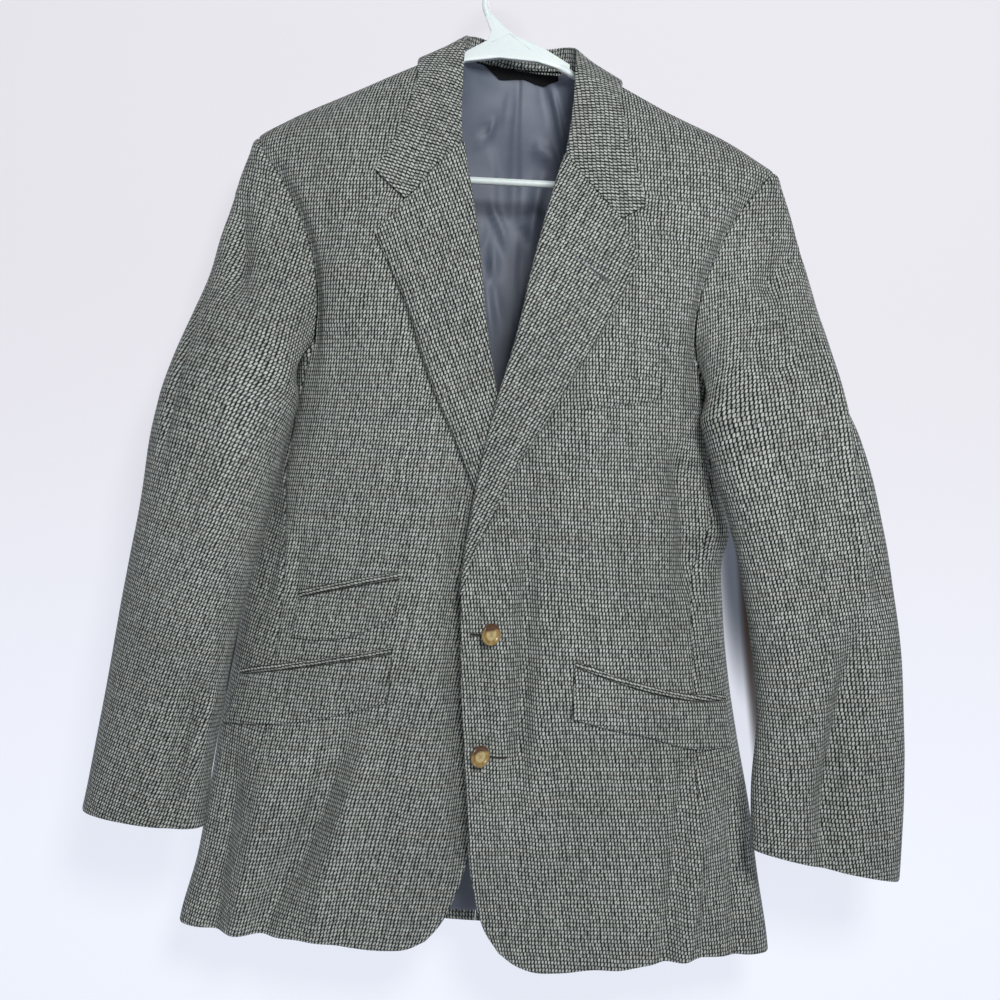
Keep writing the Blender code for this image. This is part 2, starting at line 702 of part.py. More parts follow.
ARMHOLE_SHARE = ARMHOLE_ROWS / Sleeve.COLUMNS
TURNS = np.r_[ARMHOLE_SHARE * (1 - ARMHOLE_STEPS[:0:-1]),
              np.linspace(ARMHOLE_SHARE, 1 - ARMHOLE_SHARE, UNDERARM_COLUMNS + 1),
              1 - ARMHOLE_SHARE * (1 - ARMHOLE_STEPS[1:])]
UNDER_START = ARMHOLE_ROWS + 2      # columns at which the sleeve's two seams run
UNDER_END = ARMHOLE_ROWS + UNDERARM_COLUMNS + 3
SLEEVE_STEPS = np.r_[np.linspace(0, 1, SLEEVE_HEAD_ROWS + 1),
                     np.linspace(1, 2, SLEEVE_ROWS + 1)[1:]]


def sleeve_pieces(side):
    sleeve = Sleeve(side)
    gap = 0.001
    under = TURNS[UNDER_START:UNDER_END + 1].copy()
    top = np.r_[TURNS[UNDER_END:-1] - 1, TURNS[:UNDER_START + 1]]
    for name, turns in (("under", under), ("top", top)):
        turns[0] += gap
        turns[-1] -= gap

        def place(turn, length, rise):
            return sleeve.place(turn, length, rise)
        cloth(f"{SIDES[side]}_{name}_sleeve", place, len(turns) - 1,
              len(SLEEVE_STEPS) - 1, across=turns, up=SLEEVE_STEPS)


# ------------------------------------------------------------------ lapels, collar
def lapel(side):
    """The lapel turns over at the roll line and lies on the front."""
    foot = LAPEL_FOOT_Z[side]
    roll = smooth_path(ROLL_LINE[side])
    roll = roll[(roll[:, 1] >= foot) & (roll[:, 1] <= LAPEL_TOP[side][0][1] + 2)]
    edge = smooth_path(LAPEL_EDGE[side])
    top = smooth_path(LAPEL_TOP[side])
    foot_line = np.vstack([roll[0], edge[0]])

    def place(u, v, rise):
        x, z = coons(single(foot_line), single(top), single(roll), single(edge),
                     np.clip(u, 0, 1), v).T
        width = np.hypot(*(along(edge, v) - along(roll, v)).T)
        turned = np.clip(-u, 0, 1)
        x = x - LAPEL_ROLL_REACH * np.sin(turned * math.pi / 2)
        s = SKIN[side].girth_at(x, z)
        off_roll = np.clip(u, 0, 1) * width
        swell = blend(0, 14, off_roll) * (1 - blend(14, 60, off_roll))
        height = LAPEL_RISE - LAPEL_ROLL_DROP * turned ** 1.5 + LAPEL_SWELL * swell
        return on_body(side, s, z, height + rise - front_sink(side, s, z))
    across = np.array([-1.0, -0.35, 0.02, 0.25, 0.5, 0.75, 1.0])
    return cloth(f"{SIDES[side]}_lapel", place, len(across) - 1, 12, across=across)


def collar_rows():
    """Stations from the wearer's right notch round the back to the left one."""
    rows = [(RIGHT, row) for row in reversed(COLLAR[RIGHT])]
    rows += [(LEFT, row) for row in COLLAR[LEFT][1:]]
    return rows


def collar_lines():
    """Five lines along the collar: seam, stand, roll, swell and leaf edge."""
    seam, stand, roll, swell, edge = [], [], [], [], []
    for side, row in collar_rows():
        sx, sy, sz, rx, ry, rz, ex, ez, face, bulge = row
        z = np.array([float(ez)])
        s = SKIN[side].girth_at(np.array([float(ex)]), z, face)
        foot = on_body(side, s, z, np.array([LAPEL_RISE + 0.6]))[0]
        base = np.array([CENTRE_X + side * sx, sy, sz], dtype=float)
        if face == "front":
            height = np.array([float(sz)])
            girth = SKIN[side].girth_at(np.array([float(sx)]), height)
            base = on_body(side, girth, height, np.array([-STAND_DEPTH]))[0]
        crown = np.array([CENTRE_X + side * rx, ry, rz], dtype=float)
        out = skin_normal(side, s, z)[0]
        seam.append(base)
        stand.append(base * 0.45 + crown * 0.55)
        roll.append(crown)
        swell.append(crown * 0.55 + foot * 0.45 + out * bulge)
        edge.append(foot)
    return [np.array(line) for line in (seam, stand, roll, swell, edge)]


def collar_end(side, share):
    """The gorge seam and the collar's end, from the roll to the point."""
    row = COLLAR[side][-1]
    rows = [(x, z + 2.0) for x, z in LAPEL_TOP[side][:3]]
    corner = COLLAR_NOTCH[side]
    point = (row[6], row[7])
    gorge, end = smooth_path(rows + [corner], 60), np.array([corner, point])
    x, z = joined([gorge, end], [NOTCH_SHARE])(share).T
    return on_body(side, SKIN[side].girth_at(x, z), z,
                   np.full(len(x), LAPEL_RISE + 0.2))


def across_collar(stations, w):
    """A smooth curve over the collar, through one point of each line, read at w."""
    stops = np.array(COLLAR_STOPS)
    slopes = np.gradient(stations, stops, axis=0)
    low = np.clip(np.searchsorted(stops, w, side="right") - 1, 0, len(stops) - 2)
    pick = np.arange(len(w))
    step = (stops[low + 1] - stops[low])[:, None]
    f = (w - stops[low])[:, None] / step
    return ((1 + 2 * f) * (1 - f) ** 2 * stations[low, pick]
            + f * (1 - f) ** 2 * step * slopes[low, pick]
            + f * f * (3 - 2 * f) * stations[low + 1, pick]
            + f * f * (f - 1) * step * slopes[low + 1, pick])


def collar_skin(t, w):
    """t runs from the wearer's right end to the left, w from the seam to the edge."""
    lines = collar_lines()
    count = len(lines[0])
    t = np.clip(t, 0, 1)
    stations = np.array([smooth_columns(
        np.column_stack([np.linspace(0, 1, count), line]), t) for line in lines])
    body = across_collar(stations, w)
    roll = COLLAR_STOPS[2]
    for side in SIDES:
        near = t if side == LEFT else 1 - t
        pull = blend(1 - COLLAR_END / (count - 1), 1, near) * blend(roll, roll + 0.08, w)
        cut = collar_end(side, np.clip((w - roll) / (1 - roll), 0, 1))
        last = -1 if side == LEFT else 0
        ends = np.array([line[last] for line in lines])[:, None, :]
        plain = across_collar(np.repeat(ends, len(w), axis=1), w)
        body = body + (cut - plain) * pull[:, None]
    return body


def collar():
    def place(t, w, rise):
        small = 0.006
        along_it = collar_skin(t + small, w) - collar_skin(t - small, w)
        over = (collar_skin(t, np.minimum(w + 0.02, 1))
                - collar_skin(t, np.maximum(w - 0.02, 0)))
        normal = np.cross(over, along_it)
        normal /= np.linalg.norm(normal, axis=1)[:, None]
        return collar_skin(t, w) - normal * rise[:, None]
    roll = COLLAR_STOPS[2]
    notch = roll + (1 - roll) * NOTCH_SHARE
    up = np.array([0.0, 0.16, 0.27, roll, 0.38, 0.5, 0.65, notch, 1.0])
    return cloth("collar", place, COLLAR_COLUMNS, len(up) - 1, up=up)


# ------------------------------------------------------------------ pockets, trim
def patch_on_front(name, side, top, bottom, rise_at, columns, rows, wall=WALL):
    """A piece laid on the front between an upper and a lower edge."""
    upper, lower = smooth_path(top), smooth_path(bottom)

    def place(u, v, rise):
        x, z = (along(lower, u) * (1 - v)[:, None] + along(upper, u) * v[:, None]).T
        s = SKIN[side].girth_at(x, z)
        return on_body(side, s, z, rise + rise_at(v))
    return cloth(name, place, columns, rows, wall=wall)


def pockets():
    for name, pocket in FLAPS.items():
        patch_on_front(name, pocket["side"], pocket["top"], pocket["bottom"],
                       lambda v: FLAP_RISE + FLAP_LIFT * (1 - v), 9, 3, FLAP_WALL)
        upper = [(x, z + pocket["jetting_width"] / 2) for x, z in pocket["jetting"]]
        lower = [(x, z - pocket["jetting_width"] / 2) for x, z in pocket["jetting"]]
        patch_on_front(name.replace("flap", "jetting"), pocket["side"], upper, lower,
                       lambda v: np.full_like(v, FLAP_RISE), 9, 1, JETTING_WALL)
    patch_on_front("breast_welt", LEFT, WELT_TOP, WELT_BOTTOM,
                   lambda v: np.full_like(v, FLAP_RISE), 5, 2, FLAP_WALL)


def lining_depth(distance):
    """How deep inside the back the lining lies at the neck, off its centre."""
    return WALL + LINING_CLEAR + 1.8 + 4.2 * (distance / NECK_REACH) ** 2


def back_lining():
    """Satin behind the V, from the neck to a little above the hem."""
    def place(u, v, rise):
        x = (u - 0.5) * 2
        neck_z = COLLAR[LEFT][0][2] - 4.0 - 3.0 * x
        z = LINING_HEM_Z + (neck_z - LINING_HEM_Z) * v
        near_neck = blend(0.88, 1.0, v)
        reach = 158.0 * (1 - near_neck) + NECK_REACH * near_neck
        points = np.zeros((len(u), 3))
        for side in SIDES:
            mine = (x * side >= 0)
            distance = np.abs(x[mine]) * reach[mine]
            s = SKIN[side].read(SKIN[side].total, z[mine], None) - distance
            depth = WALL + LINING_CLEAR * (1 - near_neck[mine])
            depth += (lining_depth(distance) - WALL) * near_neck[mine]
            points[mine] = on_body(side, s, z[mine], rise[mine] - depth)
        return points
    up = np.array([0.0, 0.14, 0.28, 0.42, 0.56, 0.70, 0.81, 0.89, 0.94, 0.97, 1.0])
    return cloth("back_lining", place, 10, len(up) - 1, look=LINING, wall=LINING_WALL,
                 up=up)


def neck_label():
    """A blank black label under the collar stand."""
    def place(u, v, rise):
        (left_x, left_z), (right_x, right_z) = LABEL_FOOT
        foot = left_x + (right_x - left_x) * u, left_z + (right_z - left_z) * u
        (left_x, left_z), (right_x, right_z) = LABEL_TOP
        head = left_x + (right_x - left_x) * u, left_z + (right_z - left_z) * u
        x, z = (low + (high - low) * v for low, high in zip(foot, head))
        points = np.zeros((len(u), 3))
        for side in SIDES:
            mine = (x * side >= 0) if side == LEFT else (x < 0)
            s = SKIN[side].read(SKIN[side].total, z[mine], None) - np.abs(x[mine])
            depth = lining_depth(np.abs(x[mine])) + LINING_WALL + 1.2
            points[mine] = on_body(side, s, z[mine], rise[mine] - depth)
        return points
    return cloth("neck_label", place, 8, 2, look=BLACK,
                 wall=LABEL_WALL)


def button(name, x, z):
    """A dished disc with a rim, turned on its own axis."""
    radius, half = BUTTON_DIAMETER / 2, BUTTON_THICKNESS / 2
    profile = ((0.0, 0.9), (0.55, 0.9), (0.68, 1.35), (0.86, half), (0.97, 1.2),
               (1.0, 0.0), (0.9, -1.5), (0.6, -half), (0.0, -half))
    mesh = bpy.data.meshes.new(name)
    form = bmesh.new()
    verts = [form.verts.new((r * radius * MM, 0, h * MM)) for r, h in profile]
    for first, second in zip(verts, verts[1:]):
        form.edges.new((first, second))
    form.to_mesh(mesh)
    form.free()
    made = bpy.data.objects.new(name, mesh)
    mesh.materials.append(material(HORN))
    JACKET.objects.link(made)
    turn = made.modifiers.new("turn", "SCREW")
    turn.steps = turn.render_steps = 20
    turn.use_merge_vertices = True
    turn.merge_threshold = 0.00005
    s, height = np.array([float(x)]), np.array([float(z)])
    centre = on_body(LEFT, s, height, np.array([half + 1.2]))[0] * MM
    made.location = centre
    made.rotation_euler = (math.radians(90), 0, 0)
    return made


# ------------------------------------------------------------------ hanger
def curve_tube(name, points, radius, cyclic=False, resolution=3):
    data = bpy.data.curves.new(name, "CURVE")
    data.dimensions = "3D"
    data.bevel_depth = radius * MM
    data.bevel_resolution = resolution
    data.use_fill_caps = not cyclic
    spline = data.splines.new("POLY")
    spline.points.add(len(points) - 1)
    for point, place in zip(spline.points, points):
        point.co = (*(np.array(place) * MM), 1.0)
    spline.use_cyclic_u = cyclic
    made = bpy.data.objects.new(name, data)
    JACKET.objects.link(made)
    return made


def as_mesh(curve_object, name):
    """Turn a curve into a welded mesh object, so that it can be joined."""
    bpy.context.view_layer.update()
    graph = bpy.context.evaluated_depsgraph_get()
    mesh = bpy.data.meshes.new_from_object(curve_object.evaluated_get(graph))
    form = bmesh.new()
    form.from_mesh(mesh)
    bmesh.ops.remove_doubles(form, verts=form.verts, dist=0.00001)
    form.to_mesh(mesh)
    form.free()
    made = bpy.data.objects.new(name, mesh)
    made.matrix_world = curve_object.matrix_world
    bpy.data.objects.remove(curve_object)
    return made


def hook():
    """A rod that rises from the hanger's web and turns over to the right."""
    over = [(HOOK_RADIUS * math.cos(a), 0.0,
             HOOK_ROD - HOOK_RADIUS + HOOK_RADIUS * math.sin(a))
            for a in np.radians(np.linspace(12, 180, 15))]
    neck = [(-25.3, 0, -29), (-23.5, 0, -35.5), (-19.5, 0, -41.5), (-14, 0, -46),
            (-10.0, 0, -48.6), (-8.4, 0, -50.6), (-8.2, 0, -52.7)]
    tube = curve_tube("hanger_hook", over + neck, HOOK_ROD)
    tube.data.materials.append(material(PLASTIC))
    weld = tube.modifiers.new("weld", "WELD")
    weld.merge_threshold = 0.00001
    return tube


def hanger():
    """A flat web under the hook, two sloping arms and the bar between them."""
    web_outline = ((-17, -53.9), (-2, -53.9), (33, -68), (60, -83), (60, -92),
                   (45, -86.5), (28, -82), (-8.5, -80), (-40, -85), (-60, -92),
                   (-60, -86), (-46, -79), (-40, -74.5), (-21, -63.5))
    data = bpy.data.curves.new("hanger", "CURVE")
    data.dimensions = "2D"
    data.fill_mode = "BOTH"
    data.extrude = HANGER_THICKNESS / 2 * MM
    data.bevel_depth = 0.8 * MM
    data.bevel_resolution = 1
    spline = data.splines.new("POLY")
    spline.points.add(len(web_outline) - 1)
    for point, (x, z) in zip(spline.points, web_outline):
        point.co = (x * MM, z * MM, 0, 1)
    spline.use_cyclic_u = True
    flat = bpy.data.objects.new("web", data)
    JACKET.objects.link(flat)
    flat.rotation_euler = (math.radians(90), 0, 0)
    web = as_mesh(flat, "hanger")
    JACKET.objects.link(web)
    web.data.materials.clear()
    web.data.materials.append(material(PLASTIC))

    slope = math.tan(math.radians(26.5))
    end_x, arm_z = 206.0, -89.5
    tip_z = arm_z - (end_x - 58.0) * slope
    bar_z = -199.5
    radius = (tip_z - bar_z) / 2
    turn = [(end_x + radius * math.sin(a) * 0.9, 0.0,
             (tip_z + bar_z) / 2 + radius * math.cos(a))
            for a in np.radians(np.linspace(0, 180, 9))]
    half = [(50.0, 0.0, arm_z + 8 * slope)] + turn
    loop = half + [(-x, y, z) for x, y, z in reversed(half)]
    arms = curve_tube("arms", loop, HANGER_ROD, cyclic=True, resolution=2)
    tool = as_mesh(arms, "arms")
    TOOLS.objects.link(tool)
    tool.hide_render = True
    tool.display_type = "WIRE"
    union = web.modifiers.new("arms", "BOOLEAN")
    union.operation = "UNION"
    union.object = tool
    return web


# ------------------------------------------------------------------ the whole
for old in list(bpy.data.objects):
    bpy.data.objects.remove(old, do_unlink=True)
JACKET = bpy.data.collections.new("hacking_jacket_on_hanger")
TOOLS = bpy.data.collections.new("cutters")
bpy.context.scene.collection.children.link(JACKET)
bpy.context.scene.collection.children.link(TOOLS)

for wearer_side in SIDES:
    front_panel(wearer_side)
    side_body(wearer_side)
    back_panel(wearer_side)
    sleeve_pieces(wearer_side)
    lapel(wearer_side)
collar()
pockets()
back_lining()
neck_label()
for button_name, (button_x, button_z) in BUTTONS.items():
    button(button_name, button_x, button_z)
hook()
hanger()
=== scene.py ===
"""The look of a tweed hacking jacket on its hanger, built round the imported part.

Metres, +Z up; the origin is the inside top of the hanger's hook and the front
faces -Y.  Left and right are the wearer's, so the wearer's left is +X.  The
tables are in millimetres and repeat the part's own sizes; x is measured outward
from the jacket's centre line.
"""
import math

import bmesh
import bpy
import numpy as np
from mathutils import Matrix, Vector


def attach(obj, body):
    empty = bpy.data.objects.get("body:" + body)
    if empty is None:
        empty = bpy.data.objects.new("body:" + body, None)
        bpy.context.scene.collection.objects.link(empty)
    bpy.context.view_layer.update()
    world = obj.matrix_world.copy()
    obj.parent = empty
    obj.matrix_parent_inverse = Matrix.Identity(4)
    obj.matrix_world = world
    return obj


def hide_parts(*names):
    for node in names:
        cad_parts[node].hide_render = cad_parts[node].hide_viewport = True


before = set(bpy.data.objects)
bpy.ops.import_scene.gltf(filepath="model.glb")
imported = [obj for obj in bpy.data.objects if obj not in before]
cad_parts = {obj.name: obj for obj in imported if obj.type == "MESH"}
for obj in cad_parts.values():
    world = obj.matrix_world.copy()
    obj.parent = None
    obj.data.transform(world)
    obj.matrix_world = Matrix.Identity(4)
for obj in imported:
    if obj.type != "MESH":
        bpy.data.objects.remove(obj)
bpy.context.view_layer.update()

MM = 0.001
LEFT, RIGHT = 1, -1
SIDES = {LEFT: "left", RIGHT: "right"}

# ---------------------------------------------------------------- driving sizes
CENTRE_X = 12.7          # the jacket hangs this far off the hanger's centre
WALL = 2.0               # tweed with its canvas
LINING_WALL = 1.0
LINING_CLEAR = 2.4       # between the back and its lining
SEAM = 0.25              # each edge is held back this far from the seam line
NECK_GAP = 1.2           # between the collar's seam and the neckline
GORGE_STEP = 5.0         # the front is cut back this far where its gorge begins
STAND_DEPTH = 4.8        # the collar's stand starts this far inside the fronts
SECTION_ROUND = 2.3      # 2 is an ellipse, more is squarer
LAPEL_RISE = 4.6         # outer face of a lapel above the front it lies on
LEAF_RISE = 0.6          # the collar's leaf lies this much higher than a lapel
LAPEL_ROLL_REACH = 2.6   # the lapel's turned edge stands this far past the roll
LAPEL_ROLL_DROP = 3.4    # and ends this far below the lapel's face
LAPEL_SWELL = 1.2
LAPEL_EDGE_SINK = 0.5    # its outer edge lies this much closer to the front
FLAP_RISE = 2.7
FLAP_LIFT = 0.9          # how much further a flap's lower edge stands off
FLAP_WALL = 1.6
JETTING_WALL = 1.6
LABEL_WALL = 0.6
UNDERLAP = 9.6           # how far the right front passes beneath the left lapel
BUTTONED_LAP = 4.4       # and beneath the buttoned edge below it
NECK_TIP_X = 66.0        # inner end of the shoulder seam
SHOULDER_TIP_X = 250.0
UNDERARM_Z = -388.0
BACK_HEM_Z = -928.0
LINING_HEM_Z = -917.0
BUTTON_DIAMETER = 20.0
BUTTON_THICKNESS = 4.2
BUTTON_SIDES = 64        # faces round a button
HOOK_RADIUS = 25.5       # to the middle of the rod
HOOK_ROD = 3.3
HANGER_ROD = 3.5
HANGER_THICKNESS = 6.4

# Half widths of the jacket from its centre line, at each height.
HALF_WIDTHS = (
    # z,   right, left
    (-50, 30, 24),
    (-62, 46, 38),
    (-76, 70, 55),
    (-91, 100, 76),
    (-104, 126, 103),
    (-128, 173, 151),
    (-156, 228, 213),
    (-170, 251, 237),
    (-182, 260, 256),
    (-200, 262, 262),
    (-254, 247, 247),
    (-300, 231, 231),
    (-350, 214, 214),
    (-390, 206, 206),
    (-430, 205, 206),
    (-470, 211, 212),
    (-500, 217, 220),
    (-528, 224, 228),
    (-558, 231, 222),
    (-600, 239, 225),
    (-650, 246, 231),
    (-720, 255, 244),
    (-790, 263, 260),
    (-865, 272, 273),
    (-925, 285, 285),
    (-970, 289, 289),
)

# Distance of the front, the back and the side fold from the hanger's plane.
DEPTHS = (
    # z, front, back, side
    (-50, -4, 40, 0),
    (-80, -16, 48, 0),
    (-105, -28, 54, 0),
    (-150, -48, 60, 0),
    (-200, -64, 65, 2),
    (-300, -82, 70, 6),
    (-400, -82, 66, 12),
    (-500, -75, 58, 14),
    (-565, -71, 54, 14),
    (-650, -71, 52, 12),
    (-750, -63, 48, 8),
    (-850, -51, 42, 4),
    (-970, -38, 34, 0),
)

# Seams on the front face: distance from the centre line at each height.
SIDE_SEAM = {
    LEFT: ((-368, 183), (-440, 197), (-520, 202), (-602, 189), (-654, 193),
           (-737, 200), (-838, 211), (-931, 217)),
    RIGHT: ((-368, 183), (-440, 197), (-520, 204), (-602, 198), (-654, 201),
            (-738, 207), (-823, 220), (-934, 236)),
}
BACK_SEAM = ((-362, 196), (-440, 184), (-520, 178), (-602, 175), (-738, 190),
             (-838, 203), (-928, 214))
# Height and distance from the centre line, from the underarm up.
FRONT_ARMHOLE = ((-368, 183), (-330, 181), (-297, 186), (-254, 202),
                 (-215, 223), (-190, 240))
BACK_ARMHOLE = ((-362, 196), (-340, 194), (-300, 200), (-254, 213),
                (-215, 231), (-190, 243))

# Hem and front edge, from the middle of the rounded front corner.
FRONT_HEM = {
    LEFT: ((24, -934), (40, -945), (58, -951), (80, -951), (115, -946),
           (155, -942), (217, -931)),
    RIGHT: ((46, -928), (62, -935), (84, -938), (118, -937), (141, -933),
            (190, -934), (236, -934)),
}
FRONT_EDGE = {
    LEFT: ((24, -934), (9, -912), (0, -884), (-7, -852), (-11, -802),
           (-17, -744), (-24, -674), (-28, -600)),
    RIGHT: ((46, -928), (33, -912), (22, -888), (12, -858), (2, -820),
            (-14, -760), (-18, -674), (-19, -600)),
}
# The left front's edge from the hem's corner up: heights, and x at each of them.
EDGE_RUN = np.array([(z, x) for x, z in FRONT_EDGE[LEFT][1:]] + [(-480, -29)]).T
# Where the lapel turns, from the front edge up to the neck.
ROLL_LINE = {
    LEFT: ((-28, -600), (-25, -560), (-19, -505), (-5, -426), (13, -350),
           (21, -302), (30, -257), (39, -216), (46.5, -186)),
    RIGHT: ((-19, -600), (-14, -560), (-6, -505), (5, -426), (20, -352),
            (24.5, -322), (34, -260), (43.5, -214), (50.5, -180)),
}
LAPEL_EDGE = {
    LEFT: ((-27, -597), (-20, -564), (0, -517), (22, -467), (44, -430),
           (53, -411), (83, -357), (103, -317), (108.5, -303), (117.5, -280)),
    RIGHT: ((0, -548), (9, -524), (22, -500), (40, -461), (62.5, -413),
            (83, -361), (88.5, -343), (108, -303), (125, -269)),
}
LAPEL_TOP = {
    LEFT: ((46.5, -187), (68, -214), (87, -234), (99.5, -246), (106, -261),
           (117.5, -280)),
    RIGHT: ((50.5, -180), (73, -205), (90, -229), (100, -240), (111, -255),
            (125, -269)),
}
LAPEL_FOOT_Z = {LEFT: -597, RIGHT: -548}

# Collar, station by station from the centre back to the notch.  The seam and
# the roll are points in space; the leaf's edge lies on the jacket.
COLLAR = {
    LEFT: (
        # seam x,  y,   z, roll x, y,   z, edge x, edge z, face, swell
        (0, 44, -75, 0, 46, -53, 0, -96, "back", 4),
        (22, 42, -76, 24, 44, -54, 34, -97, "back", 4),
        (42, 33, -78, 42, 34, -54.5, 62, -99, "back", 3),
        (56, 18, -81, 52, 18, -60, 84, -101, "back", 1),
        (62, 0, -87, 53, -2, -71, 96, -101, "front", 0),
        (62, -20, -104, 52, -24, -92, 96, -126, "front", 1),
        (61, -29, -126, 51.5, -38, -122, 100, -150, "front", 2),
        (60, -40, -152, 49.5, -51, -152, 106, -178, "front", 2),
        (54, -50, -178, 46.5, -62, -184, 122, -230, "front", 2),
    ),
    RIGHT: (
        (0, 44, -75, 0, 46, -53, 0, -96, "back", 4),
        (22, 42, -74, 24, 44, -51.5, 34, -93, "back", 4),
        (42, 33, -73, 42, 34, -49.5, 61, -91, "back", 3),
        (57, 18, -73, 52, 18, -54, 84, -90, "back", 1),
        (62, 0, -76, 54, -2, -62, 97, -90, "front", 0),
        (64, -16, -98, 54.5, -24, -90, 97, -117, "front", 1),
        (64, -27, -120, 54, -36, -120, 102, -140, "front", 2),
        (63, -37, -146, 53, -49, -148, 109, -166, "front", 2),
        (58, -47, -172, 51, -60, -178, 128, -211, "front", 2),
    ),
}
COLLAR_NOTCH = {LEFT: (99.5, -245), RIGHT: (99.5, -236)}
NOTCH_SHARE = 0.68       # how far along the collar's end the notch lies
COLLAR_STOPS = (0.0, 0.14, 0.32, 0.62, 1.0)    # seam, stand, roll, swell and edge
COLLAR_END = 2.2         # stations over which the collar turns into its cut end

# Pockets, on the front face: the four edges of each flap.
FLAPS = {
    "ticket_flap": dict(
        side=RIGHT,
        top=((85, -589), (133, -600), (182, -612.5)),
        bottom=((89, -621), (127, -641), (165, -647), (184, -646)),
        jetting=((85, -582), (133, -593), (182, -606)), jetting_width=6.0),
    "right_hip_flap": dict(
        side=RIGHT,
        top=((90, -658), (150, -672), (236, -690)),
        bottom=((92, -700), (142, -717), (198, -729), (246, -734)),
        jetting=((90, -652), (150, -666), (236, -684)), jetting_width=5.5),
    "left_hip_flap": dict(
        side=LEFT,
        top=((79.5, -661), (137, -679), (185, -689), (228, -691)),
        bottom=((80, -706), (113, -714), (148, -720), (197, -732), (234, -731)),
        jetting=((79.5, -655), (137, -673), (185, -683), (228, -685)),
        jetting_width=5.5),
}
WELT_TOP = ((69, -399), (98, -395), (144, -383))
WELT_BOTTOM = ((71.5, -422), (99, -417), (145, -407))
BUTTONS = {"upper_button": (0.8, -631), "lower_button": (-3.2, -743)}

# The neck label's upper and lower edge, from the wearer's right to the left.
LABEL_TOP = ((-39.0, -76.5), (49.5, -86.5))
LABEL_FOOT = ((-21.0, -90.0), (24.0, -94.5))

# Sleeves below the armhole: the fold next to the body, the outer fold, and
# half the thickness between them.
SLEEVES = {
    LEFT: (
        # z, inner x, inner y, outer x, outer y, half thickness
        (-430, 188, -67, 340, -10, 42),
        (-460, 198, -68, 350, -12, 40),
        (-520, 217, -67, 367, -18, 37),
        (-580, 233, -64, 379, -24, 35),
        (-640, 245.5, -62, 388, -30, 33),
        (-704, 251.5, -61, 394, -34, 31),
        (-770, 250.5, -60, 397, -38, 28),
        (-838, 253, -60, 395, -42, 26),
    ),
    RIGHT: (
        (-430, 196, -67, 319, -15, 51),
        (-460, 204, -68, 324, -16, 50),
        (-520, 215.5, -68, 330, -18, 47),
        (-565, 224, -68, 336, -20, 45),
        (-634, 236.5, -67, 346, -22, 42),
        (-709, 246.5, -66, 356, -26, 40),
        (-770, 252.5, -65, 365, -30, 37),
        (-824, 254.5, -63, 373, -34, 34),
    ),
}
CUFF_DROP = {LEFT: (20, -6), RIGHT: (0, 6)}    # rise of inner and outer fold
SLEEVE_ROUND = 2.25
# How the sleeve head leaves its seam: across it at the underarm and at the tip,
# outward at the underarm, and down below the armhole's front.
HEAD_LEAVE_UNDER, HEAD_LEAVE_TIP, HEAD_PUSH, HEAD_DROOP = 4.0, 44.0, 20.0, 34.0

# How fine each piece's grid is, and about how large the piece.
GRIDS = {
    # kind: columns, rows, width, length
    "front": (118, 195, 215, 860),
    "side_body": (46, 160, 110, 560),
    "back": (80, 162, 230, 850),
    "under_sleeve": (54, 150, 170, 600),
    "top_sleeve": (96, 190, 270, 600),
    "lapel": (44, 135, 84, 400),
    "collar": (225, 60, 560, 95),
    "flap": (90, 30, 150, 42),
    "jetting": (120, 10, 150),      # its length is each pocket's jetting_width
    "welt": (70, 24, 76, 25),
    "lining": (110, 150, 300, 840),
    "label": (60, 10, 62, 10),
}
PAPER_ROWS, PAPER_COLUMNS = 46, 30      # of the coarse grid that is laid flat
# Steps shared by the panels that meet at a seam.
SEAM_ROWS = 11
ARMHOLE_ROWS = 6
UNDERARM_COLUMNS = 6
SHOULDER_COLUMNS = 9
LAPEL_ROLL_COLUMNS = 11
NECK_COLUMNS = 3
COLLAR_COLUMNS = 32
ARMHOLE_STEPS = np.array([0.0, 0.21, 0.41, 0.60, 0.78, 0.92, 1.0])
SLEEVE_HEAD_ROWS = 6
SLEEVE_ROWS = 6

UP = (0.0, 0.0, 1.0)
ARM_LEAN = {LEFT: -12.5, RIGHT: 13.0}      # degrees, and the weave leans with the arm
LAPEL_LEAN = {LEFT: 25.5, RIGHT: -23.0}
SLEEVE_GAP = 0.001       # between the sleeve's two pieces, as a share of its girth
FOLD_STRENGTH = 3.2
FAR = 1e9                # further than any crease
CREASE_REACH = 2.8       # a crease is felt within this many of its widths
CREASE_COMES = (-0.05, 0.28)    # shares of its length over which a crease rises
CREASE_GOES = (0.72, 1.05)      # and dies away
DART_GROOVE, DART_SWELL = 1.1, 0.5
BUTTON_TURN = 33.0       # the buttons hang a little turned on their thread
BUTTON_SHANK = 4.0       # thread between the cloth and the button
EDGE_LIFT, EDGE_LIFT_WIDTH = 5.5, 13.0    # the left front's edge rolls forward
EDGE_DIP, EDGE_DIP_WIDTH = 12.5, 10.5     # and the right front sinks beneath it
FLAP_TUCK = 2.4          # how far a flap reaches up beneath its jetting
JETTING_RISE = 2.0       # the jetting's outer face above the front
# Heights of the dark rods painted as shadow lines beside the jettings and in the flaps'
# slits.
SEAM_SHADOW_RISE = {"above": 0.35, "below": 1.9, "slit": 0.5}
WELT_RISE = 2.3
LINING_EASE = 2.0        # the lining hangs this far clear of the back
LINING_ROOM = 2.2        # and can sink this far towards it
LINING_REACH = 158.0     # half the lining's width, round the back
LINING_NECK_DROP = 7.0   # the lining's top lies this far below the collar's seam
LINING_NECK_TILT = 6.0   # and falls by this much more towards the wearer's left
LABEL_ARCH = 3.6         # the label's lower edge rises this far in the middle
# The lining runs inside the collar's seam: narrower, shallower and further forward.
NECK_NARROWER, NECK_SHALLOWER, NECK_FORWARD = 0.93, 0.95, 5.0
LABEL_CLEAR = 2.2        # between the neck's lining and the label
BACK_SETBACK = 900.0     # the back's unevenness is read this far from the front's

